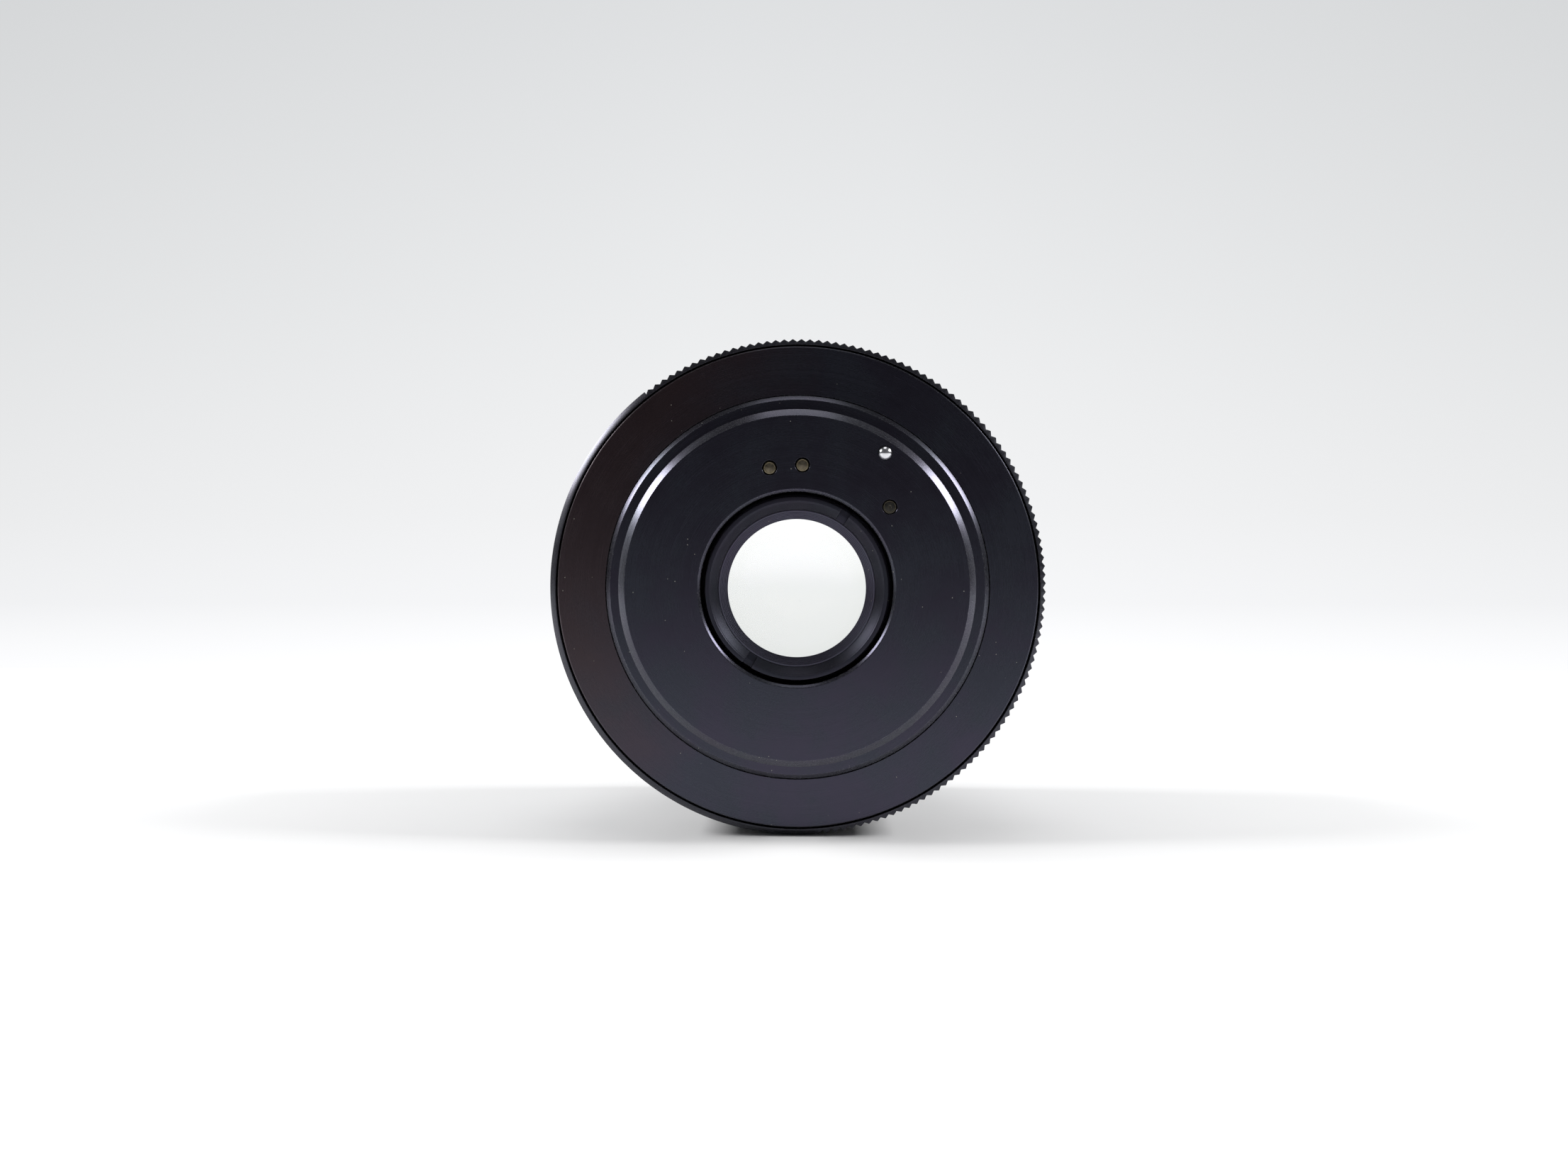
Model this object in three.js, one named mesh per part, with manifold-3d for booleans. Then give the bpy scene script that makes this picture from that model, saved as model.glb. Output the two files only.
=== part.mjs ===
// An enlarger lens: a rear mount boss and flange, a housing with a five-blade iris, a knurled
// aperture ring that turns round it, two screwed-in lens cells with six elements, and a front barrel.
//
// Units are millimetres. The optical axis runs along +Y, from the rear (towards the negative) to the
// front (towards the subject); the lens lies on its aperture ring, with +Z up and z = 0 under it.
// Along the axis a place is given as its depth from the rear face of the boss. Round the axis an
// angle is counted from the top, clockwise as seen from the rear, so it grows with a turn about +Y.
import * as THREE from "three";
import { mergeVertices } from "three/addons/utils/BufferGeometryUtils.js";
import Module from "manifold-3d";

const wasm = await Module();
wasm.setup();

// ---- driving dimensions ----
const LENGTH = 39;
const LAND_R = 28.1; // smooth land of the aperture ring, which the lens lies on
const TOOTH_TIP_R = 27.95;
const TOOTH_ROOT_R = 27.63;
const TOOTH_PITCH_DEG = 2;
const LAND_FROM_DEG = 176;
const LAND_TO_DEG = 322;

const THREAD_R = 19.5; // M39 mount thread
const BOSS_FACE_R = 18.74;
const BOSS_BORE_R = 10.5;
const SHOULDER_R = 21.5;
const SHOULDER_DEPTH = 4.6;
const FLANGE_R = 27;
const FLANGE_DEPTH = 5.15;
const FLANGE_FRONT = 6.4;

const HOUSING_REAR = 6.5;
const DRUM_R = 24; // the drum that the aperture ring turns on
const DRUM_FRONT = 12.2;
const TUBE_R = 19;
const CHAMBER_R = 17;
const TUBE_FRONT = 26;

const RING_REAR = 5.6;
const RING_FRONT = 18.4;
const RUNNING_GAP = 0.1;
const THREAD_GAP = 0.15;
const HOLE_GAP = 0.1; // round a stud or pin in its hole
const PAST = 1; // how far a cutting tool runs past the surface it leaves by

const STOP_COUNT = 6; // full stops, from wide open to the smallest
const STOP_DEG = 15;
const RING_TURN_DEG = (STOP_COUNT - 1) * STOP_DEG;

const BLADE_COUNT = 5;
const BLADE_TURN_DEG = 28.5;
const PIVOT_R = 13;
const DRIVE_STUD_DEG = -20; // from the blade's pivot to its drive stud, on the same radius

const BALL_R = 0.794; // a sixteenth of an inch across
const BALL_GAP = 0.06;
const indexBall = { r: 17.5, angle: 33.2, depth: 0.25 };
const BALL_PROUD = BALL_R - indexBall.depth;
const clickBall = { r: DRUM_R - 0.02 - BALL_R, angle: 90, depth: 9.4 };

const REAR_GLASS_R = 8.45;
const MIDDLE_GLASS_R = 9.3;
const FRONT_GLASS_R = 12.5;

const BIG_SIDES = 48;
const BODY_SIDES = 40;
const INNER_SIDES = 30;
const GLASS_SIDES = 24;
const SMALL_SIDES = 10;
const SLOT_STEPS = 14;

const rad = THREE.MathUtils.degToRad;

// ---- finishes ----
function finish(color, roughness, metalness, more = {}) {
  return new THREE.MeshStandardMaterial({ color, roughness, metalness, ...more });
}
const finishes = {
  anodised: finish(0x1c1b20, 0.32, 0.6),
  ringBlack: finish(0x19181b, 0.42, 0.55),
  innerBlack: finish(0x131215, 0.6, 0.3),
  blade: finish(0x24252a, 0.45, 0.7),
  brass: finish(0x6e5a34, 0.4, 0.9),
  steel: finish(0xd8d9dc, 0.12, 1),
  spring: finish(0x9a9da3, 0.3, 1),
  glass: finish(0xe8f0f2, 0.03, 0, { transparent: true, opacity: 0.35 }),
};

// ---- shape helpers ----

// The point at a radius and an angle round the axis, as [x, z].
function polar(r, deg) {
  return [r * Math.sin(rad(deg)), r * Math.cos(rad(deg))];
}

// The body turned round the optical axis whose half section is the closed outline [radius, depth].
function turned(outline, sides) {
  const points = outline.map(([r, depth]) => new THREE.Vector2(r, depth));
  const outwards = THREE.ShapeUtils.area(points) > 0 ? points : points.reverse();
  return new THREE.LatheGeometry([...outwards, outwards[0]], sides);
}

// A plain ring between two radii and two depths.
function ring(innerR, outerR, rear, front, sides) {
  return turned([[innerR, rear], [outerR, rear], [outerR, front], [innerR, front]], sides);
}

// [x, z] points as vectors, put in counter-clockwise order, as an extruded outline and its holes need.
function counterClockwise(outline) {
  const points = outline.map(([x, z]) => new THREE.Vector2(x, z));
  return THREE.ShapeUtils.area(points) > 0 ? points : points.reverse();
}

// A flat outline of [x, z] points, with holes, made into a plate between two depths.
function plate(outline, rear, front, holes = []) {
  const shape = new THREE.Shape(counterClockwise(outline));
  for (const hole of holes) shape.holes.push(new THREE.Path(counterClockwise(hole)));
  const geometry = new THREE.ExtrudeGeometry(shape, { depth: front - rear, bevelEnabled: false });
  return geometry.rotateX(Math.PI / 2).translate(0, front, 0);
}

function circle(r, sides, [x, z] = [0, 0]) {
  return Array.from({ length: sides }, (_, i) => {
    const [dx, dz] = polar(r, (360 * i) / sides);
    return [x + dx, z + dz];
  });
}

// An arc of a given radius round the axis, as [x, z] points.
function arc(r, fromDeg, toDeg, steps) {
  const stepDeg = (toDeg - fromDeg) / steps;
  return Array.from({ length: steps + 1 }, (_, i) => polar(r, fromDeg + i * stepDeg));
}

// A round pin parallel to the optical axis, given as stepped stretches [radius, rear, front].
function axialPin([x, z], ...stretches) {
  const outline = stretches.flatMap(([r, rear, front]) => [[r, rear], [r, front]]);
  const rear = stretches[0][1];
  const front = stretches.at(-1)[2];
  return turned([[0, rear], ...outline, [0, front]], SMALL_SIDES).translate(x, 0, z);
}

// A round pin that points straight out from the axis, between two radii.
function radialPin(r, innerR, outerR, depth, deg) {
  const geometry = new THREE.CylinderGeometry(r, r, outerR - innerR, SMALL_SIDES);
  return geometry
    .translate(0, (innerR + outerR) / 2, 0)
    .rotateX(Math.PI / 2)
    .rotateY(rad(deg))
    .translate(0, depth, 0);
}

// A coil spring of round wire along +Y from 0 to its length.
function coilSpring(coilR, wireR, length, turns) {
  const STEPS_PER_TURN = 7;
  const spring = new THREE.Curve();
  spring.getPoint = (t) => {
    const turn = 2 * Math.PI * turns * t;
    const y = wireR + (length - 2 * wireR) * t;
    return new THREE.Vector3(coilR * Math.cos(turn), y, coilR * Math.sin(turn));
  };
  const wire = new THREE.Shape(circle(wireR, 4).map(([x, z]) => new THREE.Vector2(x, z)));
  return new THREE.ExtrudeGeometry(wire, { steps: turns * STEPS_PER_TURN, extrudePath: spring });
}

// A sphere whose poles lie on the optical axis's direction.
function sphere(r) {
  return new THREE.SphereGeometry(r, 12, 8);
}

function toSolid(geometry) {
  const bare = geometry.clone();
  bare.deleteAttribute("normal");
  bare.deleteAttribute("uv");
  const merged = mergeVertices(bare, 1e-4);
  const mesh = new wasm.Mesh({
    numProp: 3,
    vertProperties: new Float32Array(merged.attributes.position.array),
    triVerts: new Uint32Array(merged.index.array),
  });
  return new wasm.Manifold(mesh);
}

function toGeometry(solid) {
  const mesh = solid.getMesh();
  const geometry = new THREE.BufferGeometry();
  geometry.setAttribute("position", new THREE.BufferAttribute(mesh.vertProperties, 3));
  geometry.setIndex(new THREE.BufferAttribute(mesh.triVerts, 1));
  geometry.computeVertexNormals();
  return geometry;
}

function cut(geometry, ...tools) {
  return toGeometry(tools.reduce((solid, tool) => solid.subtract(toSolid(tool)), toSolid(geometry)));
}

function join(geometry, ...others) {
  return toGeometry(others.reduce((solid, other) => solid.add(toSolid(other)), toSolid(geometry)));
}

// ---- the lens ----
const lens = new THREE.Group();
const axis = new THREE.Group();
axis.position.set((LAND_R - TOOTH_TIP_R) / 2, (BALL_PROUD - LENGTH) / 2, LAND_R);
lens.add(axis);

function add(name, geometry, material) {
  const mesh = new THREE.Mesh(geometry, material);
  mesh.name = name;
  axis.add(mesh);
  return mesh;
}

// ---- rear mount: threaded boss and flange plate ----
const BORE_EDGE = 0.27;
const RELIEF_DEPTH = 4; // the thread's run-out groove, up to the shoulder
const RELIEF = 0.6;
const SHOULDER_EDGE = 0.5;

const PIN_CIRCLE_R = 13.4;
const PIN_R = 0.69;
const PIN_GAP = 0.13;
const PIN_SUNK = 0.08;
const PIN_FOOT_R = 1.1;
const PIN_FOOT_DEPTH = 4.3;
const PIN_TURN_DEG = 15.35;
const FIRST_PIN_DEG = -12.6;
const pinPlaces = [0, 1, 4].map((step) => polar(PIN_CIRCLE_R, FIRST_PIN_DEG + step * PIN_TURN_DEG));

const SCREW_CIRCLE_R = 15.6;
const SCREW_R = 0.8;
const SCREW_HEAD_R = 1.5;
const SCREW_TIP = 3.4;
const SCREW_SEAT = 9.5;
const SCREW_HEAD = 1.1;
const screwPlaces = [90, 210, 330].map((deg) => polar(SCREW_CIRCLE_R, deg));

const bossOutline = [
  [BOSS_BORE_R, BORE_EDGE],
  [BOSS_BORE_R + BORE_EDGE, 0],
  [BOSS_FACE_R, 0],
  [THREAD_R, THREAD_R - BOSS_FACE_R],
  [THREAD_R, RELIEF_DEPTH],
  [THREAD_R - RELIEF, RELIEF_DEPTH],
  [THREAD_R - RELIEF, SHOULDER_DEPTH],
  [SHOULDER_R - SHOULDER_EDGE, SHOULDER_DEPTH],
  [SHOULDER_R - 0.3 * SHOULDER_EDGE, SHOULDER_DEPTH + 0.3 * SHOULDER_EDGE],
  [SHOULDER_R, SHOULDER_DEPTH + SHOULDER_EDGE],
  [SHOULDER_R, FLANGE_FRONT],
  [BOSS_BORE_R, FLANGE_FRONT],
];
const pinHoles = pinPlaces.map((at) =>
  axialPin(
    at,
    [PIN_R + PIN_GAP, -PAST, PIN_FOOT_DEPTH - HOLE_GAP],
    [PIN_FOOT_R + THREAD_GAP, PIN_FOOT_DEPTH - HOLE_GAP, FLANGE_FRONT + PAST],
  ),
);
const tappedHoles = screwPlaces.map((at) =>
  axialPin(at, [SCREW_R + THREAD_GAP, SCREW_TIP - 0.3, FLANGE_FRONT + PAST]),
);
const ballAt = polar(indexBall.r, indexBall.angle);
const ballHole = axialPin(ballAt, [BALL_R + BALL_GAP, -PAST, FLANGE_FRONT + PAST]);
const bossHoles = [...pinHoles, ...tappedHoles, ballHole];
add("mount_boss", cut(turned(bossOutline, BIG_SIDES), ...bossHoles), finishes.anodised);

const FLANGE_CHAMFER = 0.15;
const flangeOutline = [
  [SHOULDER_R + RUNNING_GAP, FLANGE_DEPTH],
  [FLANGE_R - FLANGE_CHAMFER, FLANGE_DEPTH],
  [FLANGE_R, FLANGE_DEPTH + FLANGE_CHAMFER],
  [FLANGE_R, FLANGE_FRONT],
  [SHOULDER_R + RUNNING_GAP, FLANGE_FRONT],
];
add("flange_plate", turned(flangeOutline, BIG_SIDES), finishes.anodised);

pinPlaces.forEach((at, i) => {
  const foot = [PIN_FOOT_R, PIN_FOOT_DEPTH, FLANGE_FRONT - 0.05];
  const pin = axialPin(at, [PIN_R, PIN_SUNK, PIN_FOOT_DEPTH], foot);
  add(`locating_pin_${i + 1}`, pin, finishes.brass);
});

screwPlaces.forEach((at, i) => {
  const headFrom = SCREW_SEAT + 0.05;
  const headTo = headFrom + SCREW_HEAD;
  const socket = axialPin(at, [0.4 * SCREW_HEAD_R, headFrom + SCREW_HEAD / 2, headTo + PAST]);
  const screw = axialPin(at, [SCREW_R, SCREW_TIP, headFrom], [SCREW_HEAD_R, headFrom, headTo]);
  add(`mount_screw_${i + 1}`, cut(screw, socket), finishes.steel);
});

// ---- housing: a drum for the aperture ring, with the iris chamber and a tube in front of it ----
const CELL_BORE_R = 10.2;
const DRIVE_PIN_R = 0.7;
const DRIVE_PIN_INNER_R = 15.9;
const DRIVE_PIN_OUTER_R = 21.5;
const DRIVE_PIN_DEG = 228;
const CAM_REAR = 14.5;
const CAM_FRONT = 15.5;
const DRIVE_DEPTH = (CAM_REAR + CAM_FRONT) / 2;

const housingOutline = [
  [CELL_BORE_R, HOUSING_REAR],
  [DRUM_R, HOUSING_REAR],
  [DRUM_R, DRUM_FRONT],
  [TUBE_R, DRUM_FRONT],
  [TUBE_R, TUBE_FRONT],
  [CHAMBER_R, TUBE_FRONT],
  [CHAMBER_R, DRUM_FRONT],
  [CELL_BORE_R, DRUM_FRONT],
];

// The slot in the chamber wall that the drive pin sweeps along.
function driveSlot() {
  const HALF_GAP = 1;
  const END_GAP_DEG = 4;
  const from = DRIVE_PIN_DEG - END_GAP_DEG;
  const to = DRIVE_PIN_DEG + RING_TURN_DEG + END_GAP_DEG;
  const outerArc = arc(TUBE_R + PAST, from, to, SLOT_STEPS);
  const innerArc = arc(CHAMBER_R - PAST, to, from, SLOT_STEPS);
  return plate([...outerArc, ...innerArc], DRIVE_DEPTH - HALF_GAP, DRIVE_DEPTH + HALF_GAP);
}

const SET_SCREW_R = 0.75;
const SET_SCREW_TIP_R = 18.4;
const SET_SCREW_DEPTH = 22.5;
const setScrewAngles = [60, 180, 300];
const CLICK_SPRING_SEAT_R = 18.9;

const counterbores = screwPlaces.map((at) =>
  axialPin(
    at,
    [SCREW_R + THREAD_GAP, HOUSING_REAR - PAST, SCREW_SEAT],
    [SCREW_HEAD_R + 0.2, SCREW_SEAT, DRUM_FRONT + PAST],
  ),
);
const dimples = setScrewAngles.map((deg) =>
  radialPin(SET_SCREW_R + THREAD_GAP, SET_SCREW_TIP_R - 0.2, TUBE_R + PAST, SET_SCREW_DEPTH, deg),
);
const clickHole = radialPin(
  BALL_R + BALL_GAP, CLICK_SPRING_SEAT_R, DRUM_R + PAST, clickBall.depth, clickBall.angle,
);
const housingCuts = [driveSlot(), ...counterbores, ...dimples, clickHole];
add("main_housing", cut(turned(housingOutline, BODY_SIDES), ...housingCuts), finishes.anodised);

// ---- aperture ring: knurled for grip, with a smooth land that carries the scale ----
const RING_BAND_INNER_R = 27.3; // clears the flange plate
const RING_STEP_DEPTH = 6.7;
const RING_WEB_DEPTH = 12.4;
const RING_FRONT_STEP = 17;
const BARREL_BASE_R = 22.3;

// The ring's outline: the land, then a tooth for each pitch. Each root stands just clear of the land's ends.
function knurledOutline() {
  const ROOT_OFFSET_DEG = 0.1;
  const landSteps = Math.round((LAND_TO_DEG - LAND_FROM_DEG) / (2 * TOOTH_PITCH_DEG));
  const outline = arc(LAND_R, LAND_FROM_DEG, LAND_TO_DEG, landSteps);
  for (let deg = LAND_TO_DEG; deg < LAND_FROM_DEG + 360; deg += TOOTH_PITCH_DEG) {
    outline.push(polar(TOOTH_ROOT_R, deg + ROOT_OFFSET_DEG));
    outline.push(polar(TOOTH_TIP_R, deg + TOOTH_PITCH_DEG / 2));
  }
  outline.push(polar(TOOTH_ROOT_R, LAND_FROM_DEG - ROOT_OFFSET_DEG));
  return outline;
}

const ringBore = turned(
  [
    [0, RING_REAR - PAST],
    [RING_BAND_INNER_R, RING_REAR - PAST],
    [RING_BAND_INNER_R, RING_STEP_DEPTH],
    [DRUM_R + RUNNING_GAP, RING_STEP_DEPTH],
    [DRUM_R + RUNNING_GAP, RING_WEB_DEPTH],
    [TUBE_R + RUNNING_GAP, RING_WEB_DEPTH],
    [TUBE_R + RUNNING_GAP, RING_FRONT_STEP],
    [BARREL_BASE_R + THREAD_GAP, RING_FRONT_STEP],
    [BARREL_BASE_R + THREAD_GAP, RING_FRONT + PAST],
    [0, RING_FRONT + PAST],
  ],
  BODY_SIDES,
);
const drivePinHole = radialPin(
  DRIVE_PIN_R + HOLE_GAP, TUBE_R - PAST, DRIVE_PIN_OUTER_R + HOLE_GAP, DRIVE_DEPTH, DRIVE_PIN_DEG,
);
const CLICK_GROOVE_R = 0.5;
const CLICK_GROOVE_HALF = 1.5;
const clickGrooves = Array.from({ length: STOP_COUNT }, (_, i) => {
  const at = polar(DRUM_R + CLICK_GROOVE_R / 2, clickBall.angle - i * STOP_DEG);
  const rear = clickBall.depth - CLICK_GROOVE_HALF;
  return axialPin(at, [CLICK_GROOVE_R, rear, rear + 2 * CLICK_GROOVE_HALF]);
});
const ringBlank = plate(knurledOutline(), RING_REAR, RING_FRONT);
add("aperture_ring", cut(ringBlank, ringBore, drivePinHole, ...clickGrooves), finishes.ringBlack);

const drivePin = radialPin(
  DRIVE_PIN_R, DRIVE_PIN_INNER_R, DRIVE_PIN_OUTER_R, DRIVE_DEPTH, DRIVE_PIN_DEG,
);
add("drive_pin", drivePin, finishes.steel);

// ---- iris: base plate, five blades one over the other, cam ring and cover ring ----
const IRIS_BORE_R = 7.8;
const BASE_REAR = 12.3;
const BASE_FRONT = 12.9;
const BLADE_REAR = 13.05;
const BLADE_THICK = 0.12;
const BLADE_STEP = 0.25;
const BLADE_INNER_R = 7.9;
const BLADE_OUTER_R = 12.2;
const BLADE_ARC_DEG = 138;
const FIRST_PIVOT_DEG = 10;
const PIVOT_STUD_R = 0.5;
const DRIVE_STUD_R = 0.45;
const CAM_INNER_R = 11.7;
const CAM_OUTER_R = 16.8;
const CAM_SLOT_HALF = 0.55;
const COVER_REAR = 15.7;
const COVER_FRONT = 16.3;
const PLATE_R = CHAMBER_R - RUNNING_GAP;
const bladePivots = Array.from(
  { length: BLADE_COUNT },
  (_, i) => FIRST_PIVOT_DEG + (360 * i) / BLADE_COUNT,
);

const pivotHoles = bladePivots.map((deg) =>
  circle(PIVOT_STUD_R + HOLE_GAP, SMALL_SIDES, polar(PIVOT_R, deg)),
);
const basePlate = plate(circle(PLATE_R, INNER_SIDES), BASE_REAR, BASE_FRONT, [
  circle(IRIS_BORE_R, INNER_SIDES),
  ...pivotHoles,
]);
add("iris_base_plate", basePlate, finishes.innerBlack);

// One blade whose pivot is at the given angle: a curved band with a tab for its pivot and drive studs.
function irisBlade(pivotDeg, rear) {
  const BAND_STEPS = 14;
  const at = (deg) => pivotDeg + deg;
  const outline = [
    ...arc(BLADE_INNER_R, at(0), at(BLADE_ARC_DEG), BAND_STEPS),
    polar((BLADE_INNER_R + BLADE_OUTER_R) / 2, at(BLADE_ARC_DEG + 6)),
    ...arc(BLADE_OUTER_R, at(BLADE_ARC_DEG), at(8), BAND_STEPS),
    polar(PIVOT_R + 0.3, at(5)),
    polar(PIVOT_R + 1, at(0)),
    polar(PIVOT_R + 0.9, at(DRIVE_STUD_DEG)),
    polar(PIVOT_R, at(DRIVE_STUD_DEG - 3.5)),
    polar(PIVOT_R - 0.9, at(DRIVE_STUD_DEG)),
    polar(PIVOT_R - 1.1, at(DRIVE_STUD_DEG / 2)),
    polar(BLADE_INNER_R + 1.6, at(-3)),
  ];
  const front = rear + BLADE_THICK;
  const pivotAt = polar(PIVOT_R, pivotDeg);
  const driveAt = polar(PIVOT_R, at(DRIVE_STUD_DEG));
  const pivotStud = axialPin(pivotAt, [PIVOT_STUD_R, BASE_REAR + HOLE_GAP, front]);
  const driveStud = axialPin(driveAt, [DRIVE_STUD_R, rear, CAM_FRONT - HOLE_GAP]);
  return join(plate(outline, rear, front), pivotStud, driveStud);
}

bladePivots.forEach((deg, i) => {
  add(`iris_blade_${i + 1}`, irisBlade(deg, BLADE_REAR + i * BLADE_STEP), finishes.blade);
});

// Where a drive stud stands against the cam ring after the ring has turned by the given angle.
function studInCam(pivotDeg, ringDeg) {
  const [px, pz] = polar(PIVOT_R, pivotDeg);
  const [sx, sz] = polar(PIVOT_R, pivotDeg + DRIVE_STUD_DEG);
  const bladeTurn = rad((BLADE_TURN_DEG * ringDeg) / RING_TURN_DEG);
  const stud = new THREE.Vector2(sx, sz);
  stud.rotateAround(new THREE.Vector2(px, pz), -bladeTurn);
  return stud.rotateAround(new THREE.Vector2(), rad(ringDeg));
}

// The closed outline of a slot of even width with round ends, along the path of a blade's drive stud.
function camSlot(pivotDeg) {
  const STEPS = 12;
  const MARGIN_DEG = 1;
  const stepDeg = (RING_TURN_DEG + 2 * MARGIN_DEG) / STEPS;
  const path = Array.from({ length: STEPS + 1 }, (_, i) =>
    studInCam(pivotDeg, i * stepDeg - MARGIN_DEG),
  );
  const ahead = (i) => {
    const from = path[Math.max(i - 1, 0)];
    const to = path[Math.min(i + 1, STEPS)];
    return to.clone().sub(from).normalize();
  };
  const side = (sign) =>
    path.map((p, i) => {
      const t = ahead(i);
      return [p.x - sign * CAM_SLOT_HALF * t.y, p.y + sign * CAM_SLOT_HALF * t.x];
    });
  const endOf = (i, sign) => {
    const t = ahead(i);
    return [path[i].x + sign * CAM_SLOT_HALF * t.x, path[i].y + sign * CAM_SLOT_HALF * t.y];
  };
  return [...side(1), endOf(STEPS, 1), ...side(-1).reverse(), endOf(0, -1)];
}

const camPlate = plate(circle(CAM_OUTER_R, INNER_SIDES), CAM_REAR, CAM_FRONT, [
  circle(CAM_INNER_R, INNER_SIDES),
  ...bladePivots.map(camSlot),
]);
const camNotch = radialPin(
  DRIVE_PIN_R + HOLE_GAP, DRIVE_PIN_INNER_R - 0.2, CAM_OUTER_R + PAST, DRIVE_DEPTH, DRIVE_PIN_DEG,
);
add("iris_cam_ring", cut(camPlate, camNotch), finishes.innerBlack);

const coverRing = ring(CAM_INNER_R, PLATE_R, COVER_REAR, COVER_FRONT, INNER_SIDES);
add("iris_cover_ring", coverRing, finishes.innerBlack);

// ---- detents: a click ball for the aperture stops, and an index ball in the boss's face ----
const SPRING_WIRE_R = 0.12;
const SPRING_COIL_R = 0.6;
const SPRING_TURNS = 5;
const SPRING_GAP = 0.05; // between a spring's end and its ball or its seat
const indexSpringRear = indexBall.depth + BALL_R + SPRING_GAP;
const indexSpringLength = FLANGE_FRONT - indexSpringRear;
const [indexX, indexZ] = ballAt;
add("index_ball", sphere(BALL_R), finishes.steel).position.set(indexX, indexBall.depth, indexZ);
const indexSpring = coilSpring(SPRING_COIL_R, SPRING_WIRE_R, indexSpringLength, SPRING_TURNS);
add("index_spring", indexSpring, finishes.spring).position.set(indexX, indexSpringRear, indexZ);

const clickSpringLength = clickBall.r - BALL_R - CLICK_SPRING_SEAT_R - 2 * SPRING_GAP;
const clickSpring = coilSpring(SPRING_COIL_R, SPRING_WIRE_R, clickSpringLength, SPRING_TURNS)
  .rotateX(Math.PI / 2)
  .rotateY(rad(clickBall.angle));
const [clickX, clickZ] = polar(clickBall.r, clickBall.angle);
add("click_ball", sphere(BALL_R), finishes.steel).position.set(clickX, clickBall.depth, clickZ);
const [seatX, seatZ] = polar(CLICK_SPRING_SEAT_R + SPRING_GAP, clickBall.angle);
add("click_spring", clickSpring, finishes.spring).position.set(seatX, clickBall.depth, seatZ);

// ---- lens elements ----

// Points on a spherical surface from the rim to the axis. Its vertex stands `bulge` in front of its rim.
function surface(rimR, rimDepth, bulge, steps = 3) {
  const sphereR = (rimR * rimR + bulge * bulge) / (2 * Math.abs(bulge));
  return Array.from({ length: steps + 1 }, (_, i) => {
    const r = rimR * (1 - i / steps);
    const rise = Math.sqrt(sphereR ** 2 - r ** 2) - Math.sqrt(sphereR ** 2 - rimR ** 2);
    return [r, rimDepth + Math.sign(bulge) * rise];
  });
}

// An element of glass between a rear and a front surface, each given as {r, rim, bulge}.
function element(rear, front) {
  const rearCurve = surface(rear.r, rear.rim, rear.bulge).reverse();
  const step = rear.r < front.r ? [[front.r, rear.rim + 0.3]] : [];
  return turned([...rearCurve, ...step, ...surface(front.r, front.rim, front.bulge)], GLASS_SIDES);
}

// The six elements from the front to the rear, each as its rear and its front surface.
const CEMENT_GAP = 0.05;
const elements = [
  [{ r: FRONT_GLASS_R, rim: 24.1, bulge: 1.2 }, { r: FRONT_GLASS_R, rim: 27.6, bulge: 3.4 }],
  [{ r: MIDDLE_GLASS_R, rim: 20 + CEMENT_GAP, bulge: -1.4 }, { r: 10.9, rim: 22, bulge: 2.1 }],
  [{ r: MIDDLE_GLASS_R, rim: 15.6, bulge: 1.7 }, { r: MIDDLE_GLASS_R, rim: 20, bulge: -1.4 }],
  [{ r: REAR_GLASS_R, rim: 7.7 + CEMENT_GAP, bulge: 1.2 }, { r: REAR_GLASS_R, rim: 11.5, bulge: -1.5 }],
  [{ r: REAR_GLASS_R, rim: 6.5, bulge: -1.1 }, { r: REAR_GLASS_R, rim: 7.7, bulge: 1.2 }],
  [{ r: REAR_GLASS_R, rim: 2.6, bulge: -1 }, { r: REAR_GLASS_R, rim: 4.2, bulge: 0.7 }],
];
elements.forEach(([rear, front], i) => {
  add(`lens_element_${i + 1}`, element(rear, front), finishes.glass);
});

// ---- rear cell, with its spanner notches, spacer and ribbed baffle ring ----
const CELL_R = 9.95;
const CELL_REAR = 0.2;
const CELL_FRONT = 12;
const CELL_LIP_R = 7.3;
const CELL_RIM = 0.4; // width of the flat rear rim, and thickness of the front lip
const CELL_CONE = 0.95;
const GLASS_BORE_R = REAR_GLASS_R + THREAD_GAP;
const rearCellOutline = [
  [CELL_R - CELL_RIM, CELL_REAR],
  [CELL_R, CELL_REAR],
  [CELL_R, CELL_FRONT],
  [CELL_LIP_R, CELL_FRONT],
  [CELL_LIP_R, CELL_FRONT - CELL_RIM],
  [GLASS_BORE_R, CELL_FRONT - CELL_RIM],
  [GLASS_BORE_R, CELL_REAR + CELL_CONE],
];
const NOTCH_DEG = 33;
const NOTCH_WIDTH = 1.1;
const NOTCH_DEPTH = 0.8;
const NOTCH_LENGTH = 4; // from inside the cell to well past its rim
const notches = [0, 180].map((turn) =>
  new THREE.BoxGeometry(NOTCH_WIDTH, 2 * NOTCH_DEPTH, NOTCH_LENGTH)
    .translate(0, CELL_REAR, CELL_R)
    .rotateY(rad(NOTCH_DEG + turn)),
);
add("rear_cell", cut(turned(rearCellOutline, BODY_SIDES), ...notches), finishes.innerBlack);

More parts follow.
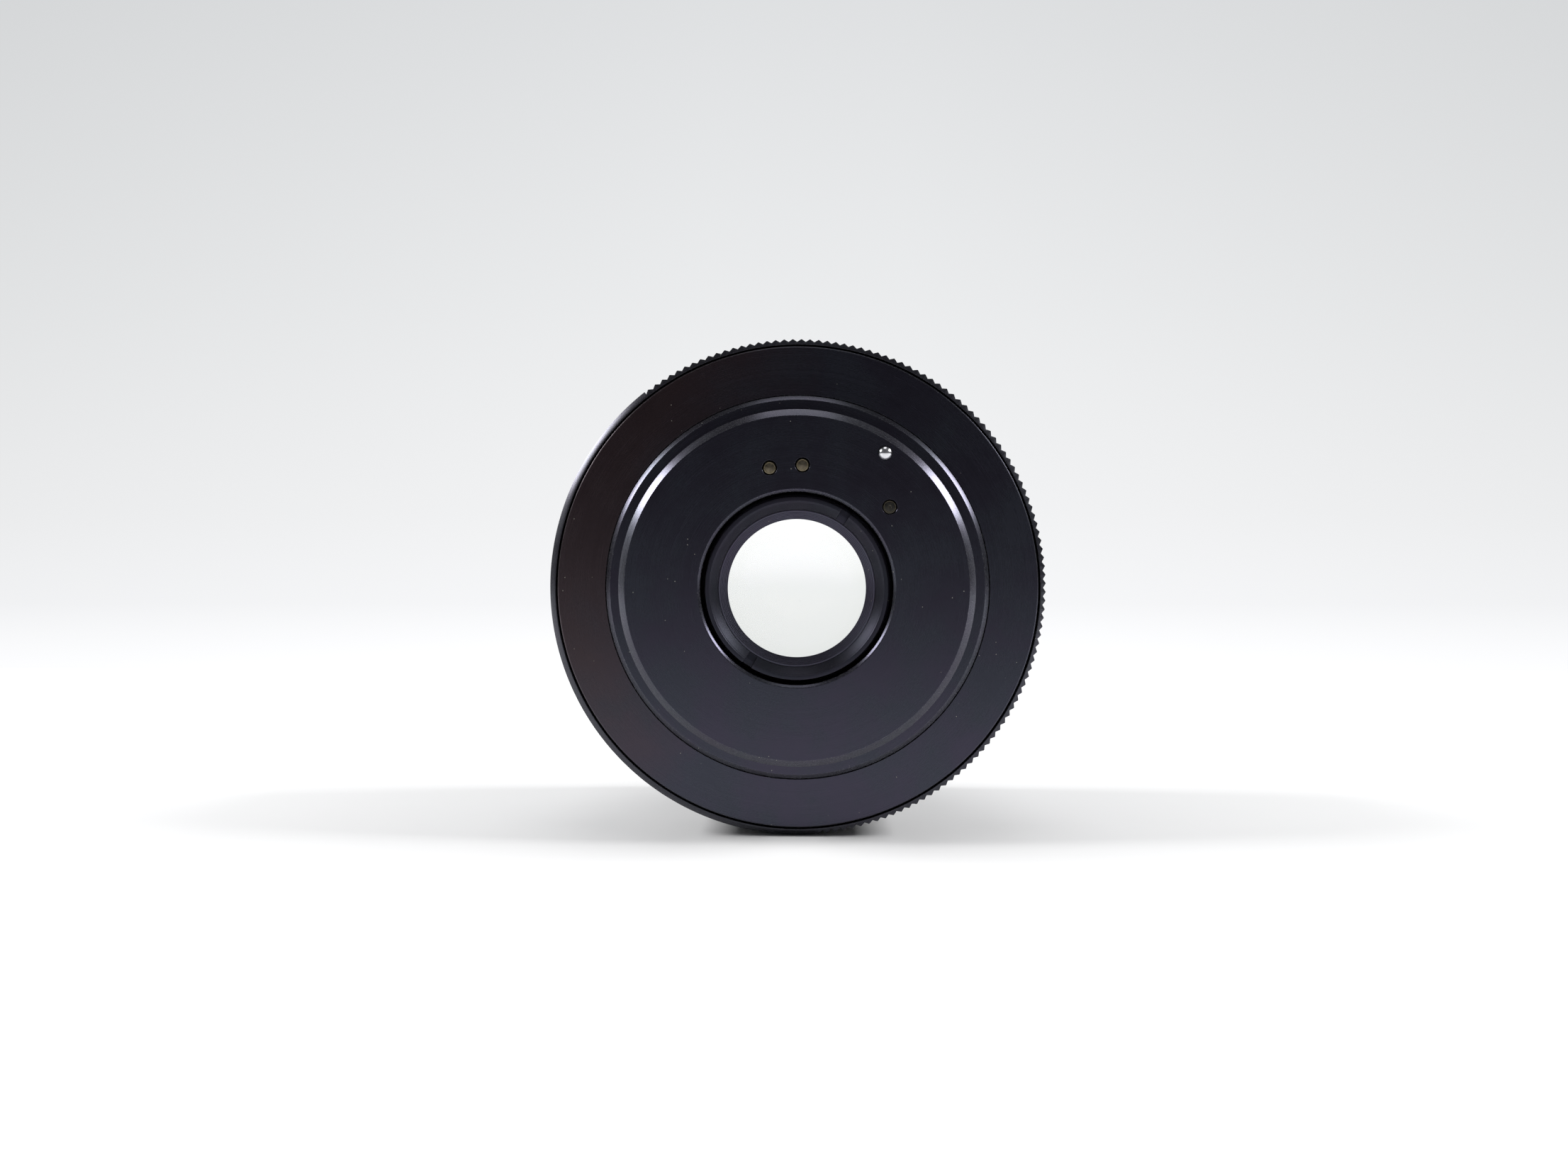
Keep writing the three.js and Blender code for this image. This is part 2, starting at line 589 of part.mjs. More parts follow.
// The baffle ring's bore narrows in steps, so that it throws no light forwards.
const BAFFLE_STEPS = 3;
const BAFFLE_REAR = 1.25;
const BAFFLE_FRONT = 2.3;
const BAFFLE_OUTER_STEP_R = REAR_GLASS_R - 0.1;
const BAFFLE_INNER_STEP_R = 7.6;
const BAFFLE_STEP_R = (BAFFLE_OUTER_STEP_R - BAFFLE_INNER_STEP_R) / (BAFFLE_STEPS - 1);
const BAFFLE_STEP_DEPTH = (BAFFLE_FRONT - BAFFLE_REAR) / BAFFLE_STEPS;
const ribs = Array.from({ length: BAFFLE_STEPS }, (_, i) => {
  const r = BAFFLE_OUTER_STEP_R - i * BAFFLE_STEP_R;
  const depth = BAFFLE_REAR + i * BAFFLE_STEP_DEPTH;
  return [[r, depth], [r, depth + BAFFLE_STEP_DEPTH]];
}).flat();
const baffleOutline = [...ribs, [REAR_GLASS_R, BAFFLE_FRONT], [REAR_GLASS_R, BAFFLE_REAR]];
add("rear_baffle_ring", turned(baffleOutline, INNER_SIDES), finishes.innerBlack);
const rearSpacer = ring(BAFFLE_INNER_STEP_R, REAR_GLASS_R, 4.4, 6.3, INNER_SIDES);
add("rear_spacer", rearSpacer, finishes.innerBlack);

// ---- front cell, spacer and retaining ring ----
const NOSE_REAR = 14.6;
const NOSE_R = 11.5;
const CELL_BODY_REAR = 16.5;
const CELL_FLANGE_REAR = TUBE_FRONT + 0.2;
const CELL_FLANGE_R = 18.4;
const CELL_MOUTH = 31.5;
const frontCellBody = [
  [NOSE_R, NOSE_REAR],
  [NOSE_R, CELL_BODY_REAR],
  [CHAMBER_R - THREAD_GAP, CELL_BODY_REAR],
  [CHAMBER_R - THREAD_GAP, CELL_FLANGE_REAR],
  [CELL_FLANGE_R, CELL_FLANGE_REAR],
  [CELL_FLANGE_R, CELL_FLANGE_REAR + 1.4],
  [15, CELL_FLANGE_REAR + 2],
  [14.2, CELL_MOUTH],
];
const frontCellBore = [
  [FRONT_GLASS_R + THREAD_GAP, CELL_MOUTH],
  [FRONT_GLASS_R + THREAD_GAP, 24],
  [11.1, 24],
  [11.1, 20],
  [MIDDLE_GLASS_R + 0.2, 20],
  [MIDDLE_GLASS_R + 0.2, NOSE_REAR + 0.9],
  [8.5, NOSE_REAR + 0.9],
  [8.5, NOSE_REAR],
];
const frontCell = turned([...frontCellBody, ...frontCellBore], INNER_SIDES);
add("front_cell", frontCell, finishes.innerBlack);
add("front_spacer", ring(10.1, 10.9, 22.5, 24.1, INNER_SIDES), finishes.innerBlack);
const retainerOutline = [
  [11.6, 28.5],
  [FRONT_GLASS_R, 27.9],
  [FRONT_GLASS_R, 30.2],
  [12.1, 30.2],
];
add("front_retaining_ring", turned(retainerOutline, INNER_SIDES), finishes.innerBlack);

// ---- front barrel with its filter thread, name ring, and the grub screws that hold it ----
const BARREL_REAR = RING_FRONT_STEP + RUNNING_GAP;
const BARREL_STEP = 26;
const BARREL_R = 21.8;
const BARREL_EDGE = 0.4;
const FILTER_BORE_R = 20.1;
const FILTER_SEAT = 33.5;
const barrelOutline = [
  [TUBE_R + THREAD_GAP, BARREL_REAR],
  [BARREL_BASE_R, BARREL_REAR],
  [BARREL_BASE_R, BARREL_STEP],
  [BARREL_R, BARREL_STEP + 0.5],
  [BARREL_R, LENGTH - BARREL_EDGE],
  [BARREL_R - BARREL_EDGE, LENGTH],
  [FILTER_BORE_R + 0.3, LENGTH],
  [FILTER_BORE_R, LENGTH - BARREL_EDGE],
  [FILTER_BORE_R, FILTER_SEAT],
  [TUBE_R + THREAD_GAP, FILTER_SEAT],
];
const setScrewHoles = setScrewAngles.map((deg) =>
  radialPin(SET_SCREW_R + THREAD_GAP, TUBE_R - PAST, BARREL_BASE_R + PAST, SET_SCREW_DEPTH, deg),
);
add("front_barrel", cut(turned(barrelOutline, BODY_SIDES), ...setScrewHoles), finishes.anodised);

setScrewAngles.forEach((deg, i) => {
  const headR = BARREL_BASE_R - 0.3;
  const screw = radialPin(SET_SCREW_R, SET_SCREW_TIP_R, headR, SET_SCREW_DEPTH, deg);
  const slot = new THREE.BoxGeometry(0.3, 4 * SET_SCREW_R, 1)
    .translate(0, 0, headR)
    .rotateY(rad(deg))
    .translate(0, SET_SCREW_DEPTH, 0);
  add(`barrel_set_screw_${i + 1}`, cut(screw, slot), finishes.innerBlack);
});

const NAME_RING_INNER_R = 14.4;
const NAME_RING_FRONT = 35;
const nameRingOutline = [
  [NAME_RING_INNER_R, 31.8],
  [17.6, 32.8],
  [FILTER_BORE_R - THREAD_GAP, NAME_RING_FRONT - 1],
  [FILTER_BORE_R - THREAD_GAP, NAME_RING_FRONT],
  [18.2, NAME_RING_FRONT],
  [NAME_RING_INNER_R, 32.6],
];
add("name_ring", turned(nameRingOutline, BODY_SIDES), finishes.innerBlack);

export default lens;
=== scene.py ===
import math
from collections import namedtuple

import bmesh
import bpy
from mathutils import Matrix, Vector, geometry


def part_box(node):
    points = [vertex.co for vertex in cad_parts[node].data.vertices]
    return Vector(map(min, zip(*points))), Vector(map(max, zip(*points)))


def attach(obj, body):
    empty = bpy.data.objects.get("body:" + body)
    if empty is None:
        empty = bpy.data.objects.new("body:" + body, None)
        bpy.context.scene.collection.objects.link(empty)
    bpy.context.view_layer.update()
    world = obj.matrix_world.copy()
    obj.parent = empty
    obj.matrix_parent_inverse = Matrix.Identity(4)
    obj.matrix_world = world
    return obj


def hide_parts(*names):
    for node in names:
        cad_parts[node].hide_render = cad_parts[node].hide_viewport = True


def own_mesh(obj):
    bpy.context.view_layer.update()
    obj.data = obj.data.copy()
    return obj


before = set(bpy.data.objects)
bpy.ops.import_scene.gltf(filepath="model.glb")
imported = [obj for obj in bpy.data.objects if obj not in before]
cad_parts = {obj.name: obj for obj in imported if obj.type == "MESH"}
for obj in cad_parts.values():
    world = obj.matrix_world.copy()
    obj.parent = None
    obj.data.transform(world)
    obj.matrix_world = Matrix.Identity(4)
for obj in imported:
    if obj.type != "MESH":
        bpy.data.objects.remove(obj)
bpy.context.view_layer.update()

MM = 0.001
BODY = "barrel"
RING = "aperture_ring"

boss_low, boss_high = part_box("mount_boss")
AXIS = Vector(((boss_low.x + boss_high.x) / 2, boss_low.y, (boss_low.z + boss_high.z) / 2))

Span = namedtuple("Span", "rear front radius")


def span(node):
    """Rear depth, front depth and radius, in mm, of a CAD node that is round about the axis."""
    low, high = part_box(node)
    return Span((low.y - AXIS.y) / MM, (high.y - AXIS.y) / MM, (high.z - low.z) / 2 / MM)


def polar(radius, degrees):
    """(x, z) of a point round the axis."""
    angle = math.radians(degrees)
    return radius * math.sin(angle), radius * math.cos(angle)


def place(radius, degrees, depth):
    """A point of the lens in the row frame, in metres."""
    x, z = polar(radius, degrees)
    return AXIS + Vector((x, depth, z)) * MM


# ---- sizes that the boxes don't give ----
BORE_R = 10.5
BORE_EDGE = 0.27
FACE_R = 18.74
FACE_MARGIN = 0.05
THREAD_R = 19.5
THREAD_START = 1.0
THREAD_END = 4.0
MOUNT_PITCH = 25.4 / 26
MOUNT_THREAD_DEPTH = 0.52
MOUNT_THREAD_ROWS = 54
RELIEF_R = 18.9
SHOULDER_DEPTH = 4.6
SHOULDER_CHAMFER = 0.5
SHOULDER_FALL = 0.45
FLANGE_BORE_R = 21.6

PIN_CIRCLE_R = 13.4
PIN_ANGLES = [-12.6, 2.75, 48.8]
PIN_R = 0.69
PIN_HOLE_R = 0.82
PIN_SUNK = 0.08
PIN_FOOT = 2.1
MARKED_PIN = 2
MARKED_PIN_R = 0.745
BALL_CIRCLE_R = 17.5
BALL_ANGLE = 33.2
BALL_HOLE_R = 0.8
HOLE_LIP = 0.025

COIL_R = 0.6
COIL_WIRE_R = 0.12

RING_FACE_FROM, RING_FACE_TO = 27.3, 27.4
RING_GROOVE = 0.6
TOOTH_ROOT_R = 27.65
TOOTH_TIP_R = 27.94
TOOTH_TIP_FLAT = 0.08
TOOTH_PITCH = 2
LAND_FROM, LAND_TO = 176, 322
LAND_CHAMFER_R = 27.43
LAND_SLOPE = 0.8
LAND_STEPS = 150

NOTCH_ANGLES = [33, 213]
NOTCH_WIDTH = 1.1
NOTCH_DEPTH = 0.8

STOPS = ["2.8", "4", "5.6", "8", "11", "16"]
STOP_STEP = 15
STOP_HEIGHT = 3.4
STOP_DEPTH = 9.4
INDEX_ANGLE = 293.5
INDEX_HEIGHT = 2.8
INDEX_DEPTH = 21.6
PAINT_LIFT = 0.002
PAINT_THICKNESS = 0.006

FILTER_R = 20.1
FILTER_PITCH = 0.5
FILTER_THREAD_DEPTH = 0.24
FILTER_THREAD_ROWS = 56
SET_SCREW_ANGLES = [60, 180, 300]
SET_SCREW_DEPTH = 22.5
SET_SCREW_R = 0.75
SET_SCREW_LENGTH = 3.6
SET_SCREW_FOOT_R = 18.4
SET_SCREW_HOLE_R = 0.88
SLOT_WIDTH = 0.28

# Facets round a turned piece, by its size.
BIG = 288
MIDDLE = 192
SMALL = 48
TINY = 32
SHARP_FROM = math.radians(31)


# ---- mesh helpers ----
def rounded(outline, closed=True, steps=4):
    """Points (radius, depth, wear) of an outline whose corners (radius, depth, rounding) are made round.
    Wear is 1 on the round of an outward corner and 0 elsewhere."""
    corners = [(*c, 0)[:3] for c in outline]
    area = sum(a[0] * b[1] - b[0] * a[1] for a, b in zip(corners, corners[1:] + corners[:1]))
    points = []
    for i, (r, depth, rounding) in enumerate(corners):
        here = Vector((r, depth))
        if rounding == 0 or (not closed and i in (0, len(corners) - 1)):
            points.append((r, depth, 0.0))
            continue
        back = Vector(corners[i - 1][:2]) - here
        on = Vector(corners[(i + 1) % len(corners)][:2]) - here
        half = back.angle(on) / 2
        reach = min(rounding / math.tan(half), 0.48 * back.length, 0.48 * on.length)
        start, end = here + back.normalized() * reach, here + on.normalized() * reach
        centre = here + (back.normalized() + on.normalized()).normalized() * reach / math.cos(half)
        outward = (back.x * on.y - back.y * on.x) * area < 0
        for k in range(steps + 1):
            arm = (start - centre).lerp(end - centre, k / steps).normalized() * (start - centre).length
            edge = 1.0 if outward and 0 < k < steps else 0.0
            points.append((centre.x + arm.x, centre.y + arm.y, edge))
    return points


def stretch(radius, rear, front, rows):
    """Points along a straight bore or rim, close enough together to carry a thread."""
    return [(radius, rear + (front - rear) * k / rows, 0.0) for k in range(rows + 1)]


def screw_thread(radius, pitch, depth, rear, front, inward=False):
    """A warp that cuts a right-handed thread in the surface of that radius and fades out at its ends."""
    steepness, run_out = 2.3, 0.6 * pitch

    def warp(r, s, degrees):
        if abs(r - radius) > 1e-4 or not rear <= s <= front:
            return r, s
        turn = (s / pitch - degrees / 360) % 1
        cut = depth * min(1.0, steepness * abs(turn - 0.5))
        fade = min(1.0, (s - rear) / run_out, (front - s) / run_out)
        return (r + cut * fade if inward else r - cut * fade), s

    return warp


def evenly(count):
    """That many angles, evenly spaced round the axis."""
    return [360 * k / count for k in range(count)]


def turned_mesh(name, points, angles=None, closed=True, warp=None):
    """The mesh, in metres, of an outline turned round the Y axis, with a wear attribute."""
    angles = angles or evenly(MIDDLE)
    rows = len(points)
    vertices, faces, wear = [], [], []
    for degrees in angles:
        for r, s, edge in points:
            if warp:
                r, s = warp(r, s, degrees)
            x, z = polar(r, degrees)
            vertices.append((x * MM, s * MM, z * MM))
            wear.append(edge)
    for j in range(len(angles)):
        here, there = j * rows, (j + 1) % len(angles) * rows
        for i in range(rows if closed else rows - 1):
            k = (i + 1) % rows
            faces.append((here + i, here + k, there + k, there + i))
    mesh = bpy.data.meshes.new(name)
    mesh.from_pydata(vertices, [], faces)
    mesh.attributes.new("wear", "FLOAT", "POINT").data.foreach_set("value", wear)
    return mesh


def tidied(mesh):
    """Merges doubled points, such as those on the axis, and turns every face out."""
    bm = bmesh.new()
    bm.from_mesh(mesh)
    bmesh.ops.remove_doubles(bm, verts=bm.verts, dist=2e-7)
    bmesh.ops.recalc_face_normals(bm, faces=bm.faces)
    bm.to_mesh(mesh)
    bm.free()
    mesh.shade_smooth()
    return mesh


def piece(name, mesh, body, material, replaces=(), at=AXIS, turn=None):
    """Puts a mesh into the scene as a piece that rides on a CAD body and stands for CAD nodes."""
    obj = bpy.data.objects.new(name, mesh)
    bpy.context.scene.collection.objects.link(obj)
    obj.matrix_world = Matrix.Translation(at) @ (turn or Matrix.Identity(4))
    for one in material if isinstance(material, list) else [material]:
        mesh.materials.append(one)
    mesh.set_sharp_from_angle(angle=SHARP_FROM)
    smooth = obj.modifiers.new("flat faces stay flat", "WEIGHTED_NORMAL")
    smooth.keep_sharp = True
    smooth.weight = 80
    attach(obj, body)
    if replaces:
        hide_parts(*replaces)
    return obj


def turned_piece(name, outline, material, node, angles=None, steps=4):
    """A piece of the barrel that is a closed outline turned round the axis, and stands for one CAD node."""
    mesh = turned_mesh(name, rounded(outline, steps=steps), angles)
    piece(name, tidied(mesh), BODY, material, [node])


def carved(mesh, cutters):
    """The mesh with other meshes cut out of it."""
    blank = bpy.data.objects.new("blank", mesh)
    bpy.context.scene.collection.objects.link(blank)
    tools = []
    for cutter in cutters:
        tool = bpy.data.objects.new("tool", cutter)
        bpy.context.scene.collection.objects.link(tool)
        tools.append(tool)
        cut = blank.modifiers.new("cut", "BOOLEAN")
        cut.operation, cut.solver, cut.object = "DIFFERENCE", "EXACT", tool
    bpy.context.view_layer.update()
    result = bpy.data.meshes.new_from_object(blank.evaluated_get(bpy.context.evaluated_depsgraph_get()))
    result.name = mesh.name
    for obj in [blank, *tools]:
        bpy.data.objects.remove(obj)
    result.shade_smooth()
    return result


def radial_turn(degrees):
    """Turns a mesh made along +Y to point straight out from the axis."""
    return Matrix.Rotation(math.radians(degrees), 4, "Y") @ Matrix.Rotation(math.pi / 2, 4, "X")


# ---- materials ----
STEEL = (0.6, 0.6, 0.61, 1)
BRASS = (0.42, 0.35, 0.21, 1)
DULL_BRASS = (0.2, 0.17, 0.11, 1)
VIOLET_SHEEN = (0.74, 0.69, 1, 1)
BLUE_SHEEN = (0.69, 0.73, 0.96, 1)
# The sheen of a painted reddish reflection on one side of the flange.
PAINTED_REFLECTION_SHEEN = (0.86, 0.7, 0.8, 1)
PALE_SHEEN = (0.86, 0.86, 0.9, 1)
BLACK = (0.0028, 0.0028, 0.0036, 1)
BLUISH = (0.0044, 0.0045, 0.0066, 1)
# The colour of a painted reddish reflection on one side of the flange.
PAINTED_REFLECTION_RED = (0.0085, 0.0042, 0.0042, 1)
PURPLISH = (0.0105, 0.0085, 0.014, 1)
LIGHT_PURPLE = (0.034, 0.03, 0.045, 1)
BLUED, LIGHT_BLUED = (0.03, 0.031, 0.037, 1), (0.055, 0.055, 0.065, 1)
TARNISH, LIGHT_TARNISH = (0.06, 0.053, 0.042, 1), (0.25, 0.215, 0.155, 1)
RUBBED = (0.24, 0.245, 0.26, 1)
DUST = (0.34, 0.34, 0.28, 1)
CLEAR, DUSTY_GLASS = (1, 1, 1, 1), (0.6, 0.6, 0.58, 1)
WHITE, OLD_WHITE = (0.78, 0.78, 0.74, 1), (0.4, 0.4, 0.38, 1)


class Graph:
    """A material under construction. Each method adds a node and gives back one of its outputs."""

    def __init__(self, name):
        self.material = bpy.data.materials.new(name)
        self.material.use_nodes = True
        self.tree = self.material.node_tree
        self.tree.nodes.clear()

    def add(self, kind, inputs, output=0, **settings):
        node = self.tree.nodes.new("ShaderNode" + kind)
        for key, value in settings.items():
            setattr(node, key, value)
        for key, value in inputs.items():
            if isinstance(value, bpy.types.NodeSocket):
                self.tree.links.new(value, node.inputs[key])
            else:
                node.inputs[key].default_value = value
        return node.outputs[output] if node.outputs else None

    def maths(self, operation, a, b=0.0):
        return self.add("Math", {0: a, 1: b}, operation=operation)

    def remap(self, value, low, high, to_low, to_high):
        inputs = {0: value, 1: low, 2: high, 3: to_low, 4: to_high}
        return self.add("MapRange", inputs, clamp=True)

    def mix(self, factor, a, b):
        return self.add("Mix", {0: factor, 6: a, 7: b}, output=2, data_type="RGBA")

    def noise(self, vector, scale, detail=3.0, roughness=0.5):
        inputs = {"Vector": vector, "Scale": scale, "Detail": detail, "Roughness": roughness}
        return self.add("TexNoise", inputs)

    def finish(self, shader):
        self.add("OutputMaterial", {"Surface": shader})
        return self.material

    def place(self, centre=(0, 0, 0)):
        """The point on the piece, from a centre on the axis."""
        coords = self.add("TexCoord", {}, output=3)
        return self.add("VectorMath", {0: coords, 1: centre}, operation="SUBTRACT")

    def lathe_marks(self, point):
        """Noise that runs round the axis, as the marks of a lathe tool do."""
        flat = self.add("VectorMath", {0: point, 1: (1, 0, 1)}, operation="MULTIPLY")
        radius = self.add("VectorMath", {0: flat}, output=1, operation="LENGTH")
        depth = self.add("SeparateXYZ", {0: point}, output=1)
        along = self.add("CombineXYZ", {0: radius, 1: depth})
        drift = self.add("VectorMath", {0: point, 3: 0.012}, operation="SCALE")
        vector = self.add("VectorMath", {0: along, 1: drift}, operation="ADD")
        return self.noise(vector, 9000.0, 4.0, 0.6)

    def specks(self, point, scale, size, share):
        """Sparse round specks: 1 on a speck and 0 elsewhere."""
        cells = {"Vector": point, "Scale": scale}
        distance = self.add("TexVoronoi", cells)
        colour = self.add("TexVoronoi", cells, output=1)
        pick = self.add("SeparateColor", {0: colour})
        chosen = self.maths("LESS_THAN", pick, share)
        near = self.remap(distance, 0.4 * size, size, 1.0, 0.0)
        return self.maths("MULTIPLY", chosen, near)


def rubbed(g, point, wear):
    """How bare the metal is: a lot on the rounds of edges, and a little on chamfers at about 45 degrees."""
    rub = g.noise(point, 10000.0, 3.0, 0.6)
    edge = g.add("Attribute", {}, output=2, attribute_name="wear")
    on_edges = g.maths("MULTIPLY", edge, g.remap(rub, 0.52, 0.66, 0.0, 0.8 * wear))
    facing = g.maths("ABSOLUTE", g.add("SeparateXYZ", {0: g.add("NewGeometry", {}, output=1)}, output=1))
    slanted = g.remap(g.maths("ABSOLUTE", g.maths("SUBTRACT", facing, 0.7)), 0.12, 0.25, 1.0, 0.0)
    on_chamfers = g.maths("MULTIPLY", slanted, g.remap(rub, 0.45, 0.7, 0.0, 0.22 * wear))
    return g.maths("MAXIMUM", on_edges, on_chamfers)


def black_metal(name, dark, light, roughness, marks=0.09, wear=1.0, dust=0.5, level=0.78,
                centre=(0, 0, 0), painted_red_reflection=None, fade=0.0):
    """Black anodised aluminium: turning marks, a patchy dye, bare metal on its edges and a little dust.
    Where given, a reddish reflection is painted on one side of the piece, in its colour and its sheen; fade
    takes the violet out of the sheen."""
    g = Graph(name)
    point = g.place(centre)
    lathe = g.lathe_marks(point)
    patches = g.noise(point, 140.0, 4.0, 0.6)
    colour = g.mix(g.remap(patches, 0.35, 0.65, 0.0, 1.0), dark, light)
    sheen = g.mix(g.remap(patches, 0.4, 0.6, 0.0, 1.0), VIOLET_SHEEN, BLUE_SHEEN)
    if fade:
        sheen = g.mix(fade, sheen, PALE_SHEEN)
    # Painted reflection: a reddish reflection painted on the piece's left and top, into both its colour and
    # its sheen.
    if painted_red_reflection:
        side_position = g.add("VectorMath", {0: point, 1: (1, 0, -0.35)}, output=1, operation="DOT_PRODUCT")
        reflection_side = g.maths("ADD", side_position, g.maths("MULTIPLY", patches, 0.02))
        painted_reflection_share = g.remap(reflection_side, -0.014, 0.006, 1.0, 0.0)
        colour = g.mix(painted_reflection_share, colour, painted_red_reflection)
        sheen = g.mix(painted_reflection_share, sheen, PAINTED_REFLECTION_SHEEN)
    metallic = 0.0
    if wear:
        worn = rubbed(g, point, wear)
        colour = g.mix(worn, colour, RUBBED)
        metallic = g.maths("MULTIPLY", worn, 0.5)
    shine = g.remap(g.maths("ADD", lathe, patches), 0.7, 1.3, roughness - 0.04, roughness + 0.06)
    if dust:
        dusty = g.specks(point, 900.0, 0.06, dust)
        colour = g.mix(dusty, colour, DUST)
        shine = g.maths("ADD", shine, g.maths("MULTIPLY", dusty, 0.3))
    grain = g.noise(point, 16000.0, 2.0)
    height = g.maths("ADD", g.maths("MULTIPLY", lathe, 0.8), g.maths("MULTIPLY", grain, 0.35))
    bump = g.add("Bump", {"Strength": marks, "Distance": 0.00002, "Height": height})
    inputs = {
        "Base Color": colour,
        "Metallic": metallic,
        "Roughness": shine,
        "Specular IOR Level": level,
        "Specular Tint": sheen,
        "Normal": bump,
    }
    return g.finish(g.add("BsdfPrincipled", inputs))


def bare_metal(name, dark, light, bare, roughness, marks=0.3, centre=(0, 0, 0)):
    """Turned or drawn bare metal with a patchy tarnish."""
    g = Graph(name)
    point = g.place(centre)
    lathe = g.lathe_marks(point)
    tarnish = g.noise(point, 900.0, 4.0, 0.65)
    colour = g.mix(g.remap(tarnish, 0.35, 0.65, 0.0, 1.0), dark, light)
    worn_edge = g.add("Attribute", {}, output=2, attribute_name="wear")
    colour = g.mix(g.maths("MULTIPLY", worn_edge, g.remap(tarnish, 0.3, 0.5, 0.4, 0.9)), colour, bare)
    scratches = g.maths("ADD", lathe, tarnish)
    inputs = {
        "Base Color": colour,
        "Metallic": 1.0,
        "Roughness": g.remap(scratches, 0.7, 1.3, 0.75 * roughness, 1.3 * roughness),
        "Normal": g.add("Bump", {"Strength": marks, "Distance": 0.00001, "Height": lathe}),
    }
    return g.finish(g.add("BsdfPrincipled", inputs))


def coated_glass(name, ior, coating):
    """Optical glass with an antireflection coating and a few specks of dust."""
    g = Graph(name)
    point = g.place()
    dusty = g.specks(point, 480.0, 0.035, 0.05)
    inputs = {
        "Base Color": g.mix(dusty, CLEAR, DUSTY_GLASS),
        "Roughness": g.maths("MULTIPLY", dusty, 0.4),
        "IOR": ior,
        "Transmission Weight": 1.0,
        "Specular Tint": coating,
    }
    return g.finish(g.add("BsdfPrincipled", inputs))


def paint(name, fresh, aged):
    """Paint filled into engraving, a little uneven."""
    g = Graph(name)
    point = g.place()
    uneven = g.noise(point, 5000.0)
    inputs = {
        "Base Color": g.mix(g.remap(uneven, 0.3, 0.7, 0.0, 0.35), fresh, aged),
        "Roughness": 0.55,
        "Normal": g.add("Bump", {"Strength": 0.3, "Distance": 0.00002, "Height": uneven}),
    }
    return g.finish(g.add("BsdfPrincipled", inputs))


anodised = black_metal("black_anodised", BLACK, BLUISH, 0.25)
# The flange has a reddish reflection painted on its left and top.
flange_black_painted_reflection = black_metal("flange_anodised_painted_reflection", BLACK, BLUISH, 0.25, painted_red_reflection=PAINTED_REFLECTION_RED)
ring_black = black_metal("ring_anodised", BLACK, BLUISH, 0.27, marks=0.12, fade=0.45)
barrel_black = black_metal("barrel_anodised", BLACK, BLUISH, 0.28, marks=0.05, fade=0.6)
matt_black = black_metal("matt_black", BLACK, BLUISH, 0.4, marks=0.3, wear=0.25, level=0.5)
baffle_black = black_metal("baffle_black", PURPLISH, LIGHT_PURPLE, 0.42, marks=0.3, wear=0.3, level=1.0)
hidden_black = black_metal("hidden_black", BLUISH, PURPLISH, 0.5, centre=AXIS)
edge_paint = black_metal("lens_edge_paint", BLACK, BLUISH, 0.8, marks=0.1, wear=0.0, dust=0.0, level=0.3)
blade_black = bare_metal("blued_steel", BLUED, LIGHT_BLUED, STEEL, 0.42, marks=0.2)
brass = bare_metal("tarnished_brass", TARNISH, LIGHT_TARNISH, BRASS, 0.42, marks=0.6)
dark_brass = bare_metal("dark_brass", (0.03, 0.03, 0.029, 1), (0.075, 0.071, 0.062, 1), DULL_BRASS, 0.4)
ball_steel = bare_metal("ball_steel", (0.62, 0.63, 0.66, 1), (0.76, 0.76, 0.79, 1), STEEL, 0.2, marks=0.05)
screw_steel = bare_metal("screw_steel", (0.4, 0.4, 0.41, 1), (0.6, 0.6, 0.6, 1), STEEL, 0.28, centre=AXIS)
spring_steel = bare_metal("spring_steel", (0.35, 0.35, 0.37, 1), (0.55, 0.55, 0.56, 1), STEEL, 0.3)
white_paint = paint("white_paint", WHITE, OLD_WHITE)


# ---- camera: millimetres from the boss's rear face, and degrees ----
CAMERA_DISTANCE = 140
CAMERA_ASIDE = 1.6
CAMERA_ABOVE = 2.7
FOCAL_LENGTH = 29.67
PITCH_DOWN = 1.08
YAW_LEFT = 1.21


def make_camera():
    camera = bpy.data.objects.new("camera", bpy.data.cameras.new("camera"))
    bpy.context.scene.collection.objects.link(camera)
    camera.data.lens = FOCAL_LENGTH
    camera.data.clip_start = 0.01
    camera.location = AXIS + Vector((CAMERA_ASIDE, -CAMERA_DISTANCE, CAMERA_ABOVE)) * MM
    camera.rotation_euler = (math.radians(90 - PITCH_DOWN), 0, math.radians(YAW_LEFT))
    bpy.context.scene.camera = camera


# ---- mount boss: a flat face with holes, and the turned rest ----
def face_with_holes(radii, angles, holes):
    """Triangles of a flat ring between two radii at depth 0, round holes given as (x, z, radius)."""
    loops = [[polar(r, a) for a in angles] for r in radii]
    loops += [[(x + dx, z + dz) for dx, dz in (polar(r, a) for a in evenly(SMALL))] for x, z, r in holes]
    points, edges = [], []
    for loop in loops:
        first = len(points)
        points += [Vector(p) for p in loop]
        edges += [(first + k, first + (k + 1) % len(loop)) for k in range(len(loop))]
    vertices, _, triangles, *_ = geometry.delaunay_2d_cdt(points, edges, [], 0, 1e-6)

    def solid(triangle):
        middle = sum((vertices[k] for k in triangle), Vector((0, 0))) / 3
        apothem = math.cos(math.pi / SMALL)
        in_hole = any((middle - Vector((x, z))).length < r * apothem for x, z, r in holes)
        return min(radii) < middle.length and not in_hole

    return [(p.x * MM, 0, p.y * MM) for p in vertices], [t for t in triangles if solid(t)]


